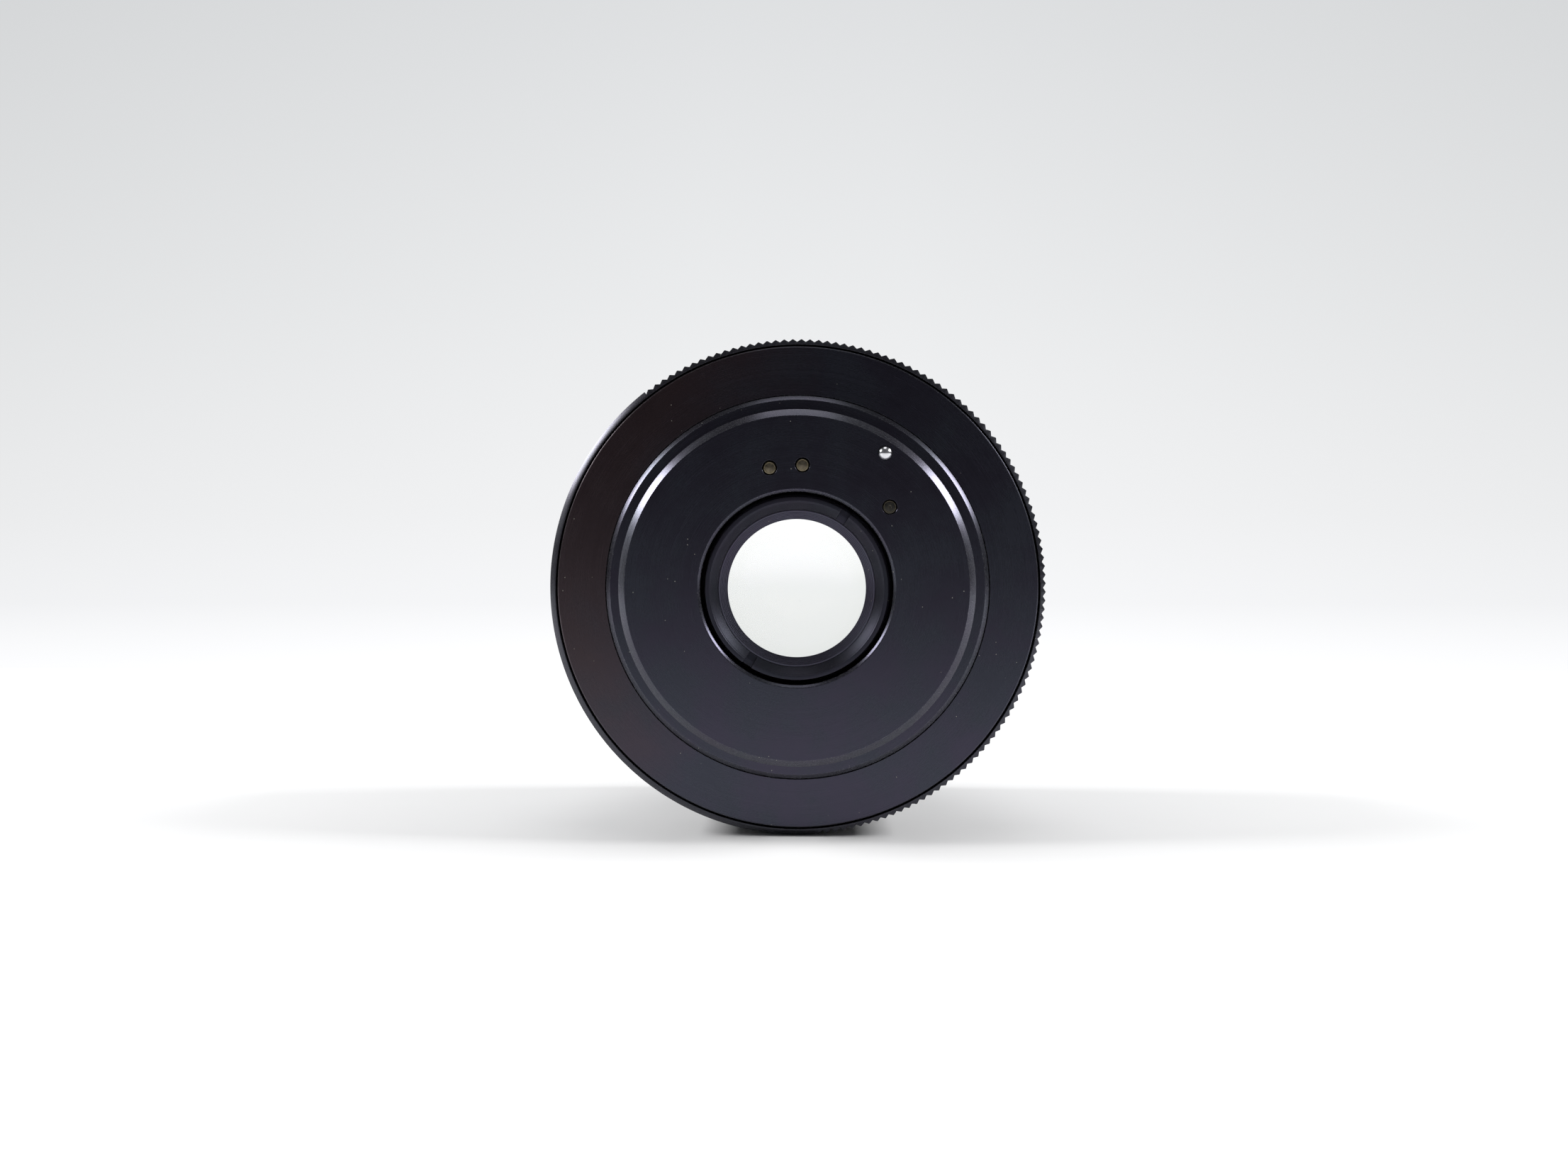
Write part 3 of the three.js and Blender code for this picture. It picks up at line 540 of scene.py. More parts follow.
def sink_hole(bm, x, z, radius, lip, floor):
    """Adds a blind hole's worn lip, wall and floor to the mesh under construction."""
    wear = bm.verts.layers.float["wear"]
    rows = [(radius + lip, 0, 0), (radius + 0.3 * lip, 0.7 * lip, 1), (radius, 0.1, 0)]
    rows += [(radius, floor, 0), (0, floor, 0)]
    loops = []
    for r, depth, worn in rows:
        around = [polar(r, a) for a in evenly(SMALL)]
        loop = [bm.verts.new(((x + dx) * MM, depth * MM, (z + dz) * MM)) for dx, dz in around]
        for vertex in loop:
            vertex[wear] = worn
        loops.append(loop)
    for near, far in zip(loops, loops[1:]):
        for k in range(SMALL):
            n = (k + 1) % SMALL
            bm.faces.new((near[k], near[n], far[n], far[k]))


def make_boss():
    boss = span("mount_boss")
    face_from = BORE_R + BORE_EDGE + 0.1 + FACE_MARGIN
    face_to = FACE_R - FACE_MARGIN
    outer = rounded(
        [
            (face_to, 0),
            (FACE_R, 0, 0.06),
            (THREAD_R, THREAD_R - FACE_R, 0.05),
            (THREAD_R, THREAD_START),
        ],
        closed=False,
    )
    inner = rounded(
        [
            (THREAD_R, THREAD_END),
            (RELIEF_R, THREAD_END + 0.1, 0.05),
            (RELIEF_R, SHOULDER_DEPTH, 0.05),
            (boss.radius - SHOULDER_CHAMFER, SHOULDER_DEPTH, 0.08),
            (boss.radius, SHOULDER_DEPTH + SHOULDER_FALL, 0.08),
            (boss.radius, boss.front, 0.05),
            (BORE_R, boss.front, 0.05),
            (BORE_R, BORE_EDGE, 0.08),
            (BORE_R + BORE_EDGE, 0, 0.08),
            (face_from, 0),
        ],
        closed=False,
    )
    thread = stretch(THREAD_R, THREAD_START, THREAD_END, MOUNT_THREAD_ROWS)[1:-1]
    warp = screw_thread(THREAD_R, MOUNT_PITCH, MOUNT_THREAD_DEPTH, THREAD_START - 0.1, THREAD_END)
    angles = evenly(BIG)
    mesh = turned_mesh("mount_boss_shell", outer + thread + inner, angles, closed=False, warp=warp)

    holes = [(*polar(PIN_CIRCLE_R, a), PIN_HOLE_R, HOLE_LIP) for a in PIN_ANGLES]
    holes.append((*polar(BALL_CIRCLE_R, BALL_ANGLE), BALL_HOLE_R, 0.5 * HOLE_LIP))
    widened = [(x, z, r + lip) for x, z, r, lip in holes]
    flat_vertices, flat_faces = face_with_holes((face_to, face_from), angles, widened)

    bm = bmesh.new()
    bm.from_mesh(mesh)
    flat = [bm.verts.new(v) for v in flat_vertices]
    for triangle in flat_faces:
        bm.faces.new([flat[k] for k in triangle])
    for x, z, r, lip in holes:
        sink_hole(bm, x, z, r, lip, floor=boss.front - 0.2)
    bm.to_mesh(mesh)
    bm.free()
    piece("boss", tidied(mesh), BODY, anodised, ["mount_boss"])


def make_flange():
    flange = span("flange_plate")
    outline = [
        (FLANGE_BORE_R, flange.rear, 0.04),
        (flange.radius - 0.11, flange.rear, 0.03),
        (flange.radius, flange.rear + 0.06, 0.02),
        (flange.radius, flange.front, 0.05),
        (FLANGE_BORE_R, flange.front, 0.05),
    ]
    turned_piece("flange", outline, flange_black_painted_reflection, "flange_plate", evenly(BIG))


# ---- small turned pieces in the boss ----
def make_pins():
    """Brass pins with a raised rim. One is greyer and a little wider, with a mark at its centre."""
    for k, degrees in enumerate(PIN_ANGLES):
        name = f"locating_pin_{k + 1}"
        foot = span(name)
        marked = k == MARKED_PIN
        radius = MARKED_PIN_R if marked else PIN_R
        crown = [(0, 0.05), (0.13, 0.05, 0.03), (0.17, 0.01, 0.03)] if marked else [(0, 0.0)]
        rim = [(radius - 0.21, 0.01, 0.02), (radius - 0.18, 0.05, 0.02), (radius - 0.15, 0.05, 0.02)]
        rim += [(radius - 0.12, 0.01, 0.03), (radius, 0.075, 0.04)]
        end = foot.front - PIN_SUNK
        stem = [(radius, end - PIN_FOOT, 0.1), (foot.radius, end - PIN_FOOT, 0.1)]
        stem += [(foot.radius, end, 0.1), (0, end)]
        outline = rounded(crown + rim + stem, closed=False)
        mesh = turned_mesh(name + "_turned", outline, evenly(SMALL), closed=False)
        finish = dark_brass if marked else brass
        at = place(PIN_CIRCLE_R, degrees, PIN_SUNK)
        piece(f"pin_{k + 1}", tidied(mesh), BODY, finish, [name], at=at)


def make_balls():
    for name in ("index_ball", "click_ball"):
        low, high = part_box(name)
        radius = (high.y - low.y) / 2 / MM
        turns = [math.pi * k / SMALL for k in range(SMALL + 1)]
        half = [(radius * math.sin(t), -radius * math.cos(t), 0) for t in turns]
        mesh = turned_mesh(name + "_ground", half, evenly(2 * SMALL), closed=False)
        piece(f"ball_{name}", tidied(mesh), name, ball_steel, [name], at=(low + high) / 2)


# ---- coil springs ----
def coil(length, turns):
    """A spring of round wire along +Y, with its end turns closed up."""
    steps, sides = 28, 10
    closing = 0.06
    vertices, faces = [], []
    total = turns * steps
    for k in range(total + 1):
        t = k / total
        rise = COIL_WIRE_R + (length - 2 * COIL_WIRE_R) * (t - closing * math.sin(2 * math.pi * t))
        turn = 2 * math.pi * turns * t
        out = Vector((math.cos(turn), 0, math.sin(turn)))
        for m in range(sides):
            angle = 2 * math.pi * m / sides
            level = Vector((0, rise + COIL_WIRE_R * math.sin(angle), 0))
            vertices.append((out * (COIL_R + COIL_WIRE_R * math.cos(angle)) + level) * MM)
    for k in range(total):
        for m in range(sides):
            n = (m + 1) % sides
            faces.append((k * sides + m, k * sides + n, (k + 1) * sides + n, (k + 1) * sides + m))
    faces.append(tuple(range(sides)))
    faces.append(tuple(total * sides + m for m in range(sides)))
    mesh = bpy.data.meshes.new("coil")
    mesh.from_pydata(vertices, [], faces)
    return tidied(mesh)


def make_springs():
    low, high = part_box("index_spring")
    at = Vector(((low.x + high.x) / 2, low.y, (low.z + high.z) / 2))
    length = (high.y - low.y) / MM
    mesh = coil(length, 7)
    index = piece("index_coil", mesh, BODY, spring_steel, ["index_spring"], at=at)
    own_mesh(index)

    low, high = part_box("click_spring")
    at = Vector((low.x, (low.y + high.y) / 2, (low.z + high.z) / 2))
    length = (high.x - low.x) / MM
    mesh = coil(length, 5)
    turn = radial_turn(90)
    click = piece("click_coil", mesh, BODY, spring_steel, ["click_spring"], at=at, turn=turn)
    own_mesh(click)


# ---- aperture ring: knurled, with a smooth land that carries the scale ----
LAND_R = span(RING).radius


def knurl(degrees):
    """Radius of the ring's outside at an angle."""
    degrees %= 360
    if LAND_FROM <= degrees <= LAND_TO:
        return LAND_R
    offset = (degrees - LAND_TO) % TOOTH_PITCH
    rise = 1 - abs(offset / TOOTH_PITCH - 0.5) * 2
    return TOOTH_ROOT_R + (TOOTH_TIP_R - TOOTH_ROOT_R) * min(rise / (1 - TOOTH_TIP_FLAT), 1.0)


def ring_angles():
    """Angles of each tooth's root and of the two edges of its tip, and close ones along the land."""
    angles = []
    land = LAND_TO - LAND_FROM
    half = TOOTH_PITCH / 2
    offsets = [0.01, half * (1 - TOOTH_TIP_FLAT), half * (1 + TOOTH_TIP_FLAT)]
    for k in range(int((360 - land) / TOOTH_PITCH)):
        angles += [LAND_TO + TOOTH_PITCH * k + offset - 360 for offset in offsets]
    angles += [LAND_FROM + land * k / LAND_STEPS for k in range(LAND_STEPS + 1)]
    return sorted(angles)


def make_ring():
    ring = span(RING)
    rear, front = ring.rear, ring.front
    outer = [
        (RING_FACE_FROM, rear, 0.05),
        (RING_FACE_TO, rear, 0.03),
        (TOOTH_TIP_R, rear + 0.22),
        (LAND_R, rear + 0.4),
        (LAND_R, rear + 0.7),
        (LAND_R, rear + 5.95),
        (LAND_R - 0.001, rear + 6.0),
        (LAND_R - RING_GROOVE, rear + 6.1, 0.05),
        (LAND_R - RING_GROOVE, rear + 6.75, 0.05),
        (LAND_R - 0.001, rear + 6.85),
        (LAND_R, rear + 6.9),
        (LAND_R, front - 0.8),
        (LAND_R, front - 0.65),
        (27.5, front - 0.15, 0.05),
        (27.2, front, 0.1),
    ]
    bore = [
        (22.45, front, 0.1),
        (22.45, 17, 0.05),
        (19.1, 17, 0.05),
        (19.1, 12.4, 0.05),
        (24.1, 12.4, 0.05),
        (24.1, 6.7, 0.05),
        (RING_FACE_FROM, 6.7, 0.05),
    ]

    def teeth(r, s, degrees):
        """Cuts the teeth, and gives the land the steeper chamfer that it has at the rear."""
        if r < LAND_CHAMFER_R:
            return r, s
        r = min(r, knurl(degrees))
        if LAND_FROM <= degrees % 360 <= LAND_TO and s < rear + 0.5:
            s = rear + LAND_SLOPE * (r - LAND_CHAMFER_R)
        return r, s

    mesh = turned_mesh("ring", rounded(outer + bore, steps=3), ring_angles(), warp=teeth)
    piece("knurled_ring", tidied(mesh), RING, ring_black, [RING])


def wrapped_text(text, height, radius, degrees, depth):
    """Numbers laid on a cylinder, their tops towards the rear, as a thin layer of paint."""
    curve = bpy.data.curves.new("number", "FONT")
    curve.body, curve.size, curve.align_x, curve.align_y = text, height, "CENTER", "CENTER"
    curve.extrude = PAINT_THICKNESS
    curve.resolution_u = 6
    source = bpy.data.objects.new("number", curve)
    bpy.context.scene.collection.objects.link(source)
    bpy.context.view_layer.update()
    mesh = bpy.data.meshes.new_from_object(source)
    bpy.data.objects.remove(source)
    for vertex in mesh.vertices:
        u, v, thickness = vertex.co
        x, z = polar(radius + thickness, degrees - math.degrees(u / radius))
        vertex.co = Vector((x, depth - v, z)) * MM
    return mesh


def make_scale():
    ring = span(RING)
    for k, stop in enumerate(STOPS):
        degrees = INDEX_ANGLE - STOP_STEP * k
        mesh = wrapped_text(stop, STOP_HEIGHT, LAND_R + PAINT_LIFT, degrees, ring.rear + STOP_DEPTH)
        name = "stop_" + stop.replace(".", "_")
        piece(name, mesh, RING, white_paint)


# ---- rear cell with its spanner notches, and the stepped baffle ring in its mouth ----
def make_rear_cell():
    cell = span("rear_cell")
    outline = [
        (9.42, cell.rear + 0.1, 0.02),
        (9.52, cell.rear, 0.03),
        (cell.radius, cell.rear, 0.06),
        (cell.radius, cell.front, 0.1),
        (7.3, cell.front, 0.05),
        (7.3, cell.front - 0.4, 0.05),
        (8.6, cell.front - 0.4, 0.02),
        (8.6, cell.rear + 0.95, 0.04),
        (9.36, cell.rear + 0.14, 0.02),
    ]
    half = math.degrees(NOTCH_WIDTH / 2 / cell.radius)
    soft = 0.25
    angles = evenly(MIDDLE)
    for notch in NOTCH_ANGLES:
        angles += [notch - half - soft, notch - half, notch + half, notch + half + soft]

    def notched(r, s, degrees):
        inside = any(abs(degrees - notch) <= half + 1e-6 for notch in NOTCH_ANGLES)
        return (r, max(s, cell.rear + NOTCH_DEPTH)) if inside else (r, s)

    mesh = turned_mesh("cell", rounded(outline), sorted(angles), warp=notched)
    for vertex, wear in zip(mesh.vertices, mesh.attributes["wear"].data):
        degrees = math.degrees(math.atan2(vertex.co.x, vertex.co.z)) % 360
        aside = min(abs(degrees - notch) for notch in NOTCH_ANGLES)
        if vertex.co.y < (cell.rear + NOTCH_DEPTH) * MM and half - 0.1 < aside < half + soft + 0.1:
            wear.value = 1.0
    piece("rear_cell_body", tidied(mesh), BODY, matt_black, ["rear_cell"])


def make_baffle():
    """Six ribs that step inwards from the mouth to the throat, with a narrow groove behind each."""
    baffle = span("rear_baffle_ring")
    ribs = 6
    outside, mouth, throat = 8.57, 8.5, 7.6
    groove, groove_depth = 0.045, 0.12
    rise = (mouth - throat) / ribs
    run = (baffle.front - baffle.rear) / ribs
    outline = [(outside, baffle.front, 0.02), (outside, baffle.rear, 0.02)]
    for k in range(ribs):
        r, depth = mouth - rise * (k + 1), baffle.rear + run * k
        if k:
            bottom, far = r + rise - groove, depth + groove_depth
            outline += [(r + rise, far), (bottom, far), (bottom, depth, 0.01)]
        outline += [(r + 0.6 * rise, depth, 0.02), (r, depth + 0.3 * run, 0.02)]
    outline.append((throat, baffle.front, 0.02))
    turned_piece("baffle", outline, baffle_black, "rear_baffle_ring", steps=3)


# ---- glass ----
Surface = namedtuple("Surface", "radius rim bulge")
CEMENT = 0.05
# Each element's rear surface, front surface and refractive index. A surface has a radius at its rim, the
# rim's depth, and how far its middle stands in front of the rim.
ELEMENTS = [
    (Surface(12.5, 24.1, 1.2), Surface(12.5, 27.6, 3.4), 1.67),
    (Surface(9.3, 20 + CEMENT, -1.4), Surface(10.9, 22, 2.1), 1.62),
    (Surface(9.3, 15.6, 1.7), Surface(9.3, 20, -1.4), 1.6),
    (Surface(8.45, 7.7 + CEMENT, 1.2), Surface(8.45, 11.5, -1.5), 1.6),
    (Surface(8.45, 6.5, -1.1), Surface(8.45, 7.7, 1.2), 1.62),
    (Surface(8.45, 2.6, -1.0), Surface(8.45, 4.2, 0.7), 1.67),
]
COATINGS = [(0.1, 0.1, 0.19, 1), (0.13, 0.08, 0.15, 1), (0.16, 0.12, 0.07, 1)]


def cap(surface):
    """Points on a spherical surface from the axis to its rim."""
    rings = 20
    sphere = (surface.radius**2 + surface.bulge**2) / (2 * abs(surface.bulge))
    base = math.sqrt(sphere**2 - surface.radius**2)
    sign = math.copysign(1, surface.bulge)
    points = []
    for k in range(rings + 1):
        r = surface.radius * k / rings
        points.append((r, surface.rim + sign * (math.sqrt(sphere**2 - r**2) - base), 0.0))
    return points


def make_glass():
    """Six ground elements, black on their edges and on the step behind a wider front surface."""
    for k, (rear, front, ior) in enumerate(ELEMENTS):
        name = f"lens_element_{k + 1}"
        back, face = cap(rear), cap(front)
        step = [(front.radius, rear.rim + 0.3, 0.0)] if front.radius > rear.radius else []
        points = back + step + face[::-1]
        mesh = tidied(turned_mesh(name + "_ground", points, evenly(144), closed=False))
        glass = coated_glass(f"coated_glass_{k + 1}", ior, COATINGS[k % len(COATINGS)])
        ground = piece(f"glass_{k + 1}", mesh, BODY, [glass, edge_paint], [name])
        rim_r = min(rear.radius, front.radius) - 0.021
        for polygon in ground.data.polygons:
            at_rim = Vector((polygon.center.x, polygon.center.z)).length / MM > rim_r
            facing = abs(polygon.normal.y)
            painted = at_rim and (facing < 0.2 or (step and facing > 0.99))
            polygon.material_index = 1 if painted else 0


# ---- the front: cells, retaining ring, barrel with its filter thread, name ring ----
def make_front():
    cell = span("front_cell")
    body = [
        (8.5, cell.rear, 0.05),
        (11.5, cell.rear, 0.1),
        (11.5, 16.5, 0.05),
        (16.85, 16.5, 0.1),
        (16.85, 26.2, 0.05),
        (cell.radius, 26.2, 0.05),
        (cell.radius, 27.6, 0.1),
        (15, 28.2, 0.2),
        (14.2, cell.front, 0.12),
        (12.65, cell.front, 0.1),
        (12.65, 24, 0.02),
        (11.1, 24, 0.05),
        (11.1, 20, 0.02),
        (9.5, 20, 0.05),
        (9.5, 15.5, 0.02),
        (8.5, 15.5, 0.05),
    ]
    turned_piece("front_cell_body", body, matt_black, "front_cell")

    retainer = [(11.6, 28.5, 0.05), (12.5, 27.95, 0.02), (12.5, 30.2, 0.05), (12.1, 30.2, 0.05)]
    turned_piece("front_retainer", retainer, matt_black, "front_retaining_ring")

    name_ring = span("name_ring")
    plate = [
        (14.4, 31.8, 0.05),
        (17.6, 32.8, 0.1),
        (name_ring.radius, 34, 0.02),
        (name_ring.radius, name_ring.front, 0.05),
        (18.9, name_ring.front, 0.08),
        (18.75, name_ring.front - 0.3, 0.1),
        (14.75, 32.75, 0.15),
        (14.4, 32.6, 0.06),
    ]
    turned_piece("front_name_ring", plate, matt_black, "name_ring", evenly(BIG))


def make_barrel():
    barrel = span("front_barrel")
    tip = barrel.front
    bore_r, bore_end = 19.15, 33.5
    groove_r, tube_r = barrel.radius - 0.35, 21.8
    thread_rear, thread_front = 35.3, tip - 0.45
    outside = rounded(
        [
            (bore_r, bore_end),
            (bore_r, barrel.rear, 0.05),
            (barrel.radius, barrel.rear, 0.1),
            (barrel.radius, 19.4, 0.04),
            (groove_r, 19.55, 0.04),
            (groove_r, 20.0, 0.04),
            (barrel.radius, 20.15, 0.04),
            (barrel.radius, 26, 0.08),
            (tube_r, 26.5, 0.1),
            (tube_r, 36.6, 0.03),
            (tube_r - 0.2, 36.7, 0.03),
            (tube_r - 0.2, 37.1, 0.03),
            (tube_r, 37.2, 0.03),
            (tube_r, tip - 0.4, 0.06),
            (tube_r - 0.4, tip, 0.06),
            (FILTER_R + 0.3, tip, 0.05),
            (FILTER_R, tip - 0.35),
        ],
        closed=False,
    )
    thread = stretch(FILTER_R, thread_front, thread_rear, FILTER_THREAD_ROWS)
    warp = screw_thread(FILTER_R, FILTER_PITCH, FILTER_THREAD_DEPTH, thread_rear, thread_front, inward=True)
    points = outside + thread + [(FILTER_R, bore_end, 0.0)]
    mesh = tidied(turned_mesh("front_tube", points, evenly(BIG), warp=warp))
    holes = []
    for degrees in SET_SCREW_ANGLES:
        drill = [(0, 0, 0), (SET_SCREW_HOLE_R, 0, 0), (SET_SCREW_HOLE_R, 5, 0), (0, 5, 0)]
        hole = turned_mesh("hole", drill, evenly(TINY), closed=False)
        bottom = place(SET_SCREW_FOOT_R + 0.1, degrees, SET_SCREW_DEPTH) - AXIS
        hole.transform(Matrix.Translation(bottom) @ radial_turn(degrees))
        holes.append(tidied(hole))
    piece("front_tube", carved(mesh, holes), BODY, barrel_black, ["front_barrel"])

    line = wrapped_text("|", INDEX_HEIGHT, barrel.radius + PAINT_LIFT, INDEX_ANGLE, INDEX_DEPTH)
    piece("index_line", line, BODY, white_paint)


def slot_cutter():
    """A flat box across the head of a set screw."""
    size = Matrix.Diagonal((3 * MM, 1 * MM, SLOT_WIDTH * MM, 1))
    cutter = bpy.data.meshes.new("slot")
    bm = bmesh.new()
    bmesh.ops.create_cube(bm, size=1, matrix=Matrix.Translation((0, SET_SCREW_LENGTH * MM, 0)) @ size)
    bm.to_mesh(cutter)
    bm.free()
    return cutter


def make_set_screws():
    for k, degrees in enumerate(SET_SCREW_ANGLES):
        node = f"barrel_set_screw_{k + 1}"
        cone = [(0, 0), (0.3, 0), (SET_SCREW_R, 0.45, 0.05)]
        head = [
            (SET_SCREW_R, SET_SCREW_LENGTH - 0.1, 0.05),
            (SET_SCREW_R - 0.1, SET_SCREW_LENGTH, 0.04),
            (0, SET_SCREW_LENGTH),
        ]
        outline = rounded(cone + head, closed=False)
        blank = tidied(turned_mesh(node + "_turned", outline, evenly(SMALL), closed=False))
        mesh = carved(blank, [slot_cutter()])
        at, turn = place(SET_SCREW_FOOT_R, degrees, SET_SCREW_DEPTH), radial_turn(degrees)
        piece(f"grub_screw_{k + 1}", mesh, BODY, blade_black, [node], at=at, turn=turn)


# ---- iris blades ----
BLADES = 5
PIVOT_R = 13
FIRST_PIVOT = 10
STUD_TURN = -20
BLADE_IN, BLADE_OUT = 7.9, 12.2
BLADE_ARC = 138
BLADE_STEPS = 60
FIRST_BLADE_DEPTH = 13.05
BLADE_SPACING = 0.25
BLADE_THICKNESS = 0.12
BASE_DEPTH, CAM_DEPTH = 12.4, 15.4


def blade_outline(pivot):
    """(x, z) points of a leaf: a crescent with a tab round its pivot."""

    def arc(r, start, end):
        share = (end - start) / BLADE_STEPS
        return [polar(r, pivot + start + share * m) for m in range(BLADE_STEPS + 1)]

    outline = arc(BLADE_IN, 0, BLADE_ARC)
    outline.append(polar((BLADE_IN + BLADE_OUT) / 2, pivot + BLADE_ARC + 6))
    outline += arc(BLADE_OUT, BLADE_ARC, 8)
    tab = [(0.3, 5), (1, 0), (0.9, STUD_TURN), (0, STUD_TURN - 3.5), (-0.9, STUD_TURN), (-1.1, STUD_TURN / 2)]
    outline += [polar(PIVOT_R + out, pivot + aside) for out, aside in tab]
    outline.append(polar(BLADE_IN + 1.6, pivot - 3))
    return outline


def blade_stud(degrees, radius, rear, front):
    """A round stud that stands on a blade."""
    x, z = polar(PIVOT_R, degrees)
    outline = [(0, rear), (radius, rear, 0.08), (radius, front, 0.08), (0, front)]
    stud = turned_mesh("stud", rounded(outline, closed=False), evenly(TINY), closed=False)
    stud.transform(Matrix.Translation((x * MM, 0, z * MM)))
    return tidied(stud)


def make_blades():
    for k in range(BLADES):
        name = f"iris_blade_{k + 1}"
        pivot = FIRST_PIVOT + 360 / BLADES * k
        rear = FIRST_BLADE_DEPTH + BLADE_SPACING * k
        bm = bmesh.new()
        leaf = bm.faces.new([bm.verts.new((x * MM, rear * MM, z * MM)) for x, z in blade_outline(pivot)])
        grown = bmesh.ops.extrude_face_region(bm, geom=[leaf])
        top = [v for v in grown["geom"] if isinstance(v, bmesh.types.BMVert)]
        bmesh.ops.translate(bm, verts=top, vec=(0, BLADE_THICKNESS * MM, 0))
        bmesh.ops.recalc_face_normals(bm, faces=bm.faces)
        bm.from_mesh(blade_stud(pivot, 0.5, BASE_DEPTH, rear + BLADE_THICKNESS))
        bm.from_mesh(blade_stud(pivot + STUD_TURN, 0.45, rear, CAM_DEPTH))
        mesh = bpy.data.meshes.new(name + "_leaf")
        bm.to_mesh(mesh)
        bm.free()
        mesh.shade_smooth()
        piece(f"leaf_{k + 1}", mesh, name, blade_black, [name])


# ---- plain rings inside, and the CAD pieces that stay ----
def make_inner_rings():
    """The spacers between the cells and the ring over the iris."""
    bores = {"rear_spacer": 7.6, "front_spacer": 10.1, "iris_cover_ring": 11.7}
    for name, bore in bores.items():
        rear, front, radius = span(name)
        outline = [(bore, rear, 0.05), (radius, rear, 0.05), (radius, front, 0.05), (bore, front, 0.05)]
        turned_piece(f"{name}_turned", outline, matt_black, name)


def finish_cad_nodes():
    """Gives a material to the CAD nodes that keep their own shape."""
    blacks = ["main_housing", "iris_base_plate", "iris_cam_ring"]
    steels = ["drive_pin", "mount_screw_1", "mount_screw_2", "mount_screw_3"]
    kept = [(name, hidden_black) for name in blacks] + [(name, screw_steel) for name in steels]
    for name, material in kept:
        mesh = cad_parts[name].data
        mesh.materials.clear()
        mesh.materials.append(material)


# ---- stage: a white sweep, two softboxes high at the sides, and one overhead ----
def sweep_material():
    """White paper on the floor; where it rises it glows though it is no lamp, with a painted falloff from
    nearly white down to pale grey at its top and sides.
    """
    g = Graph("white_sweep_painted_glow")
    coords = g.add("TexCoord", {}, output=3)
    x = g.add("SeparateXYZ", {0: coords}, output=0)
    z = g.add("SeparateXYZ", {0: coords}, output=2)
    # Painted light: the rising wall glows, darkening in painted bands towards its top.
    painted_glow_tone = (1.04, 1.045, 1.06, 1)
    painted_falloff_bands = [
        (0.003, 0.018, (0.935, 0.94, 0.955, 1)),
        (0.018, 0.05, (0.895, 0.9, 0.91, 1)),
        (0.05, 0.16, (0.83, 0.84, 0.85, 1)),
        (0.16, 0.4, (0.71, 0.722, 0.735, 1)),
    ]
    for low, high, painted_falloff_shade in painted_falloff_bands:
        painted_glow_tone = g.mix(g.remap(z, low, high, 0.0, 1.0), painted_glow_tone, painted_falloff_shade)
    # Painted shade: the glow darkens towards the sides.
    aside = g.remap(g.maths("ABSOLUTE", x), 0.05, 0.5, 0.0, 0.22)
    painted_glow_tone = g.mix(aside, painted_glow_tone, (0.4, 0.41, 0.41, 1))
    grain = g.noise(coords, 30.0, 5.0)
    paper = g.add("BsdfDiffuse", {"Color": g.mix(grain, (0.87, 0.87, 0.87, 1), (0.9, 0.9, 0.9, 1))})
    glow = g.add("Emission", {"Color": painted_glow_tone, "Strength": 1.0})
    wall = g.remap(z, 0.0, 0.003, 0.0, 1.0)
    return g.finish(g.add("MixShader", {0: wall, 1: paper, 2: glow}))


def make_sweep():
    """A floor that curves up into a wall behind the lens."""
    near, bend, radius, top, wide = -1.4, 0.13, 0.45, 1.2, 3.2
    steps = 32
    line = [(near, 0), (bend, 0)]
    angles = [math.pi / 2 * (k / steps) ** 1.5 for k in range(1, steps + 1)]
    line += [(bend + radius * math.sin(a), radius * (1 - math.cos(a))) for a in angles]
    line.append((bend + radius, top))
    vertices = [(x, y, z) for x in (-wide, wide) for y, z in line]
    count = len(line)
    faces = [(k, count + k, count + k + 1, k + 1) for k in range(count - 1)]
    mesh = bpy.data.meshes.new("sweep")
    mesh.from_pydata(vertices, [], faces)
    mesh.shade_smooth()
    mesh.materials.append(sweep_material())
    sweep = bpy.data.objects.new("sweep", mesh)
    bpy.context.scene.collection.objects.link(sweep)


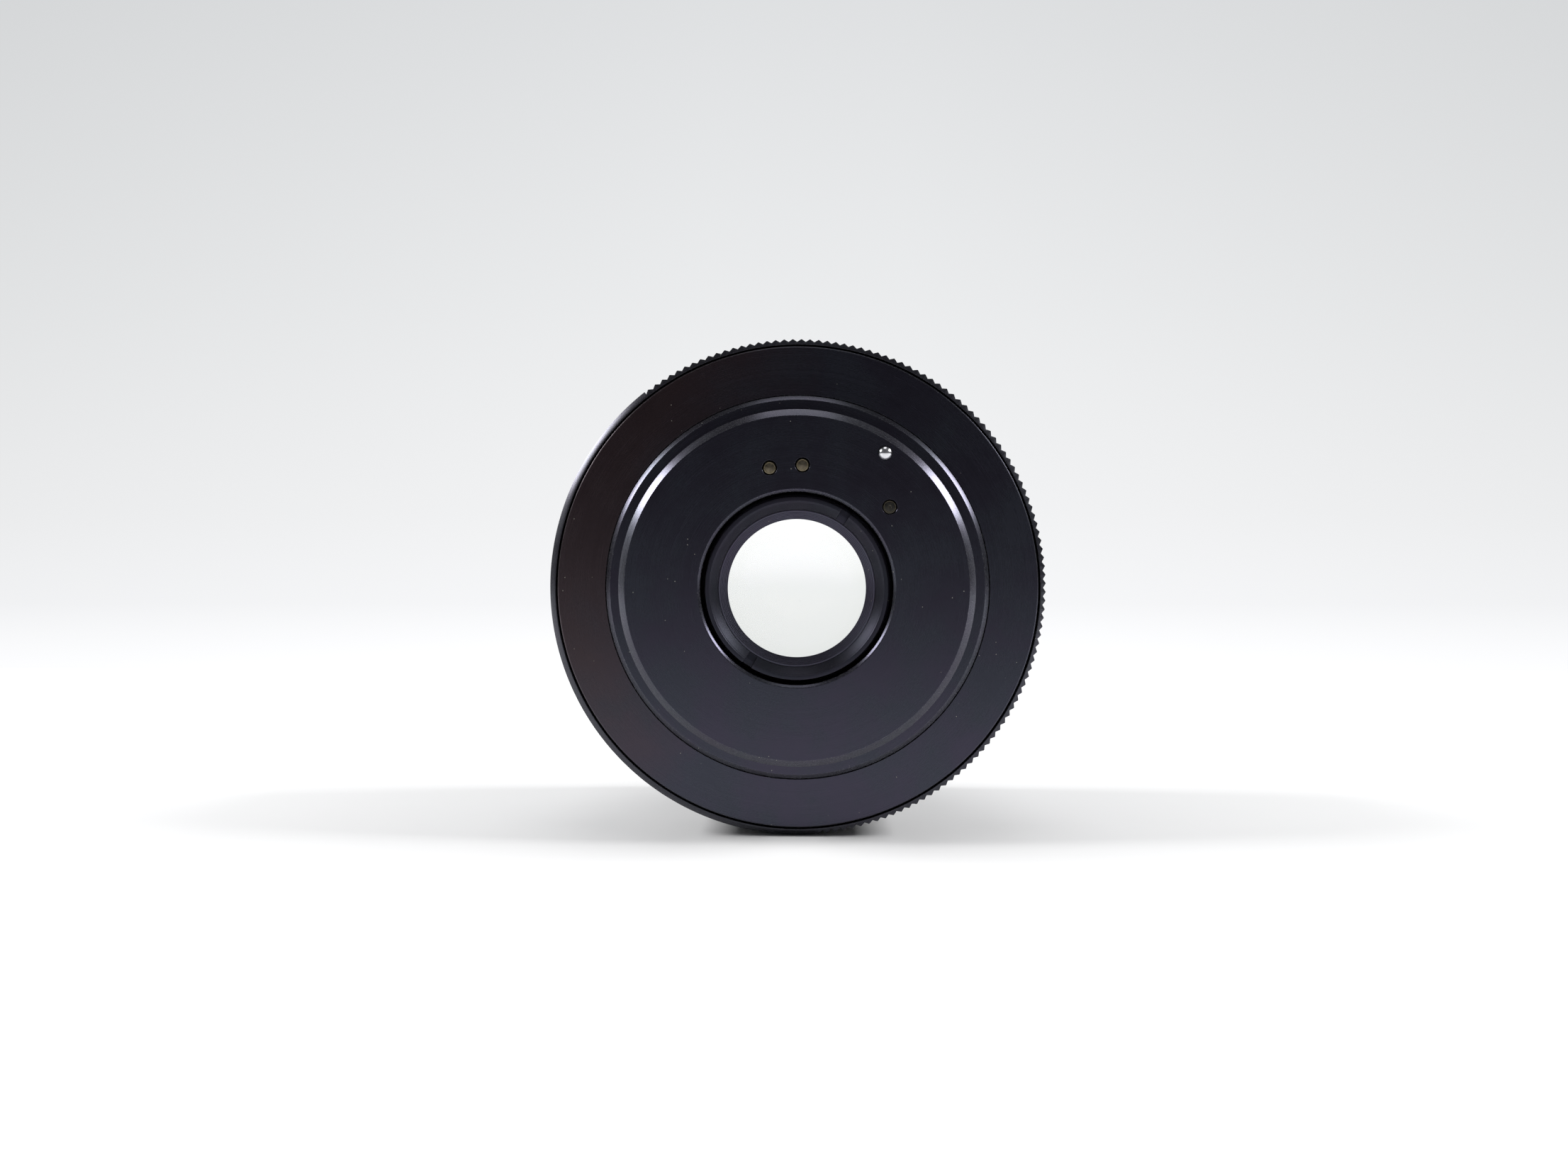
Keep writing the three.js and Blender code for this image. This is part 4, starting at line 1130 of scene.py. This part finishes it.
def softbox(name, position, target, width, height, radiance):
    """An area light that faces its target. It looks as bright, in radiance, whatever its size in metres."""
    lamp = bpy.data.lights.new(name, "AREA")
    lamp.shape, lamp.size, lamp.size_y = "RECTANGLE", width, height
    lamp.energy = radiance * math.pi * width * height
    obj = bpy.data.objects.new(name, lamp)
    bpy.context.scene.collection.objects.link(obj)
    obj.location = position
    obj.rotation_euler = (Vector(target) - Vector(position)).to_track_quat("-Z", "Y").to_euler()
    obj.visible_camera = False


def dim_room():
    """A world that lights the lens dimly, and looks pale where the view goes past the end of the sweep."""
    world = bpy.data.worlds.new("room")
    world.use_nodes = True
    tree = world.node_tree
    light = tree.nodes["Background"]
    light.inputs["Color"].default_value = (0.1, 0.1, 0.105, 1)
    seen = tree.nodes.new("ShaderNodeBackground")
    seen.inputs["Color"].default_value = (0.62, 0.63, 0.64, 1)
    path = tree.nodes.new("ShaderNodeLightPath")
    choice = tree.nodes.new("ShaderNodeMixShader")
    tree.links.new(path.outputs["Is Camera Ray"], choice.inputs[0])
    tree.links.new(light.outputs[0], choice.inputs[1])
    tree.links.new(seen.outputs[0], choice.inputs[2])
    tree.links.new(choice.outputs[0], tree.nodes["World Output"].inputs["Surface"])
    return world


def make_lights():
    """A softbox high on each side, in the plane of the lens's middle, and a weaker one overhead."""
    middle = AXIS + Vector((0, 0.015, 0))
    aside, side_distance, side_radiance = 57.5, 0.5, 22
    overhead_distance, overhead_radiance = 0.75, 1.5
    for name, degrees in (("left_softbox", -aside), ("right_softbox", aside)):
        x, z = polar(side_distance, degrees)
        softbox(name, middle + Vector((x, 0, z)), middle, 0.22, 0.15, side_radiance)
    softbox("overhead", middle + Vector((0, 0, overhead_distance)), middle, 0.36, 0.5, overhead_radiance)
    bpy.context.scene.world = dim_room()


make_camera()
make_boss()
make_flange()
make_pins()
make_balls()
make_springs()
make_ring()
make_scale()
make_rear_cell()
make_baffle()
make_glass()
make_front()
make_barrel()
make_set_screws()
make_blades()
make_inner_rings()
finish_cad_nodes()
make_sweep()
make_lights()

scene = bpy.context.scene
scene.view_settings.view_transform = "Standard"
scene.cycles.max_bounces = 32
scene.cycles.transmission_bounces = 32
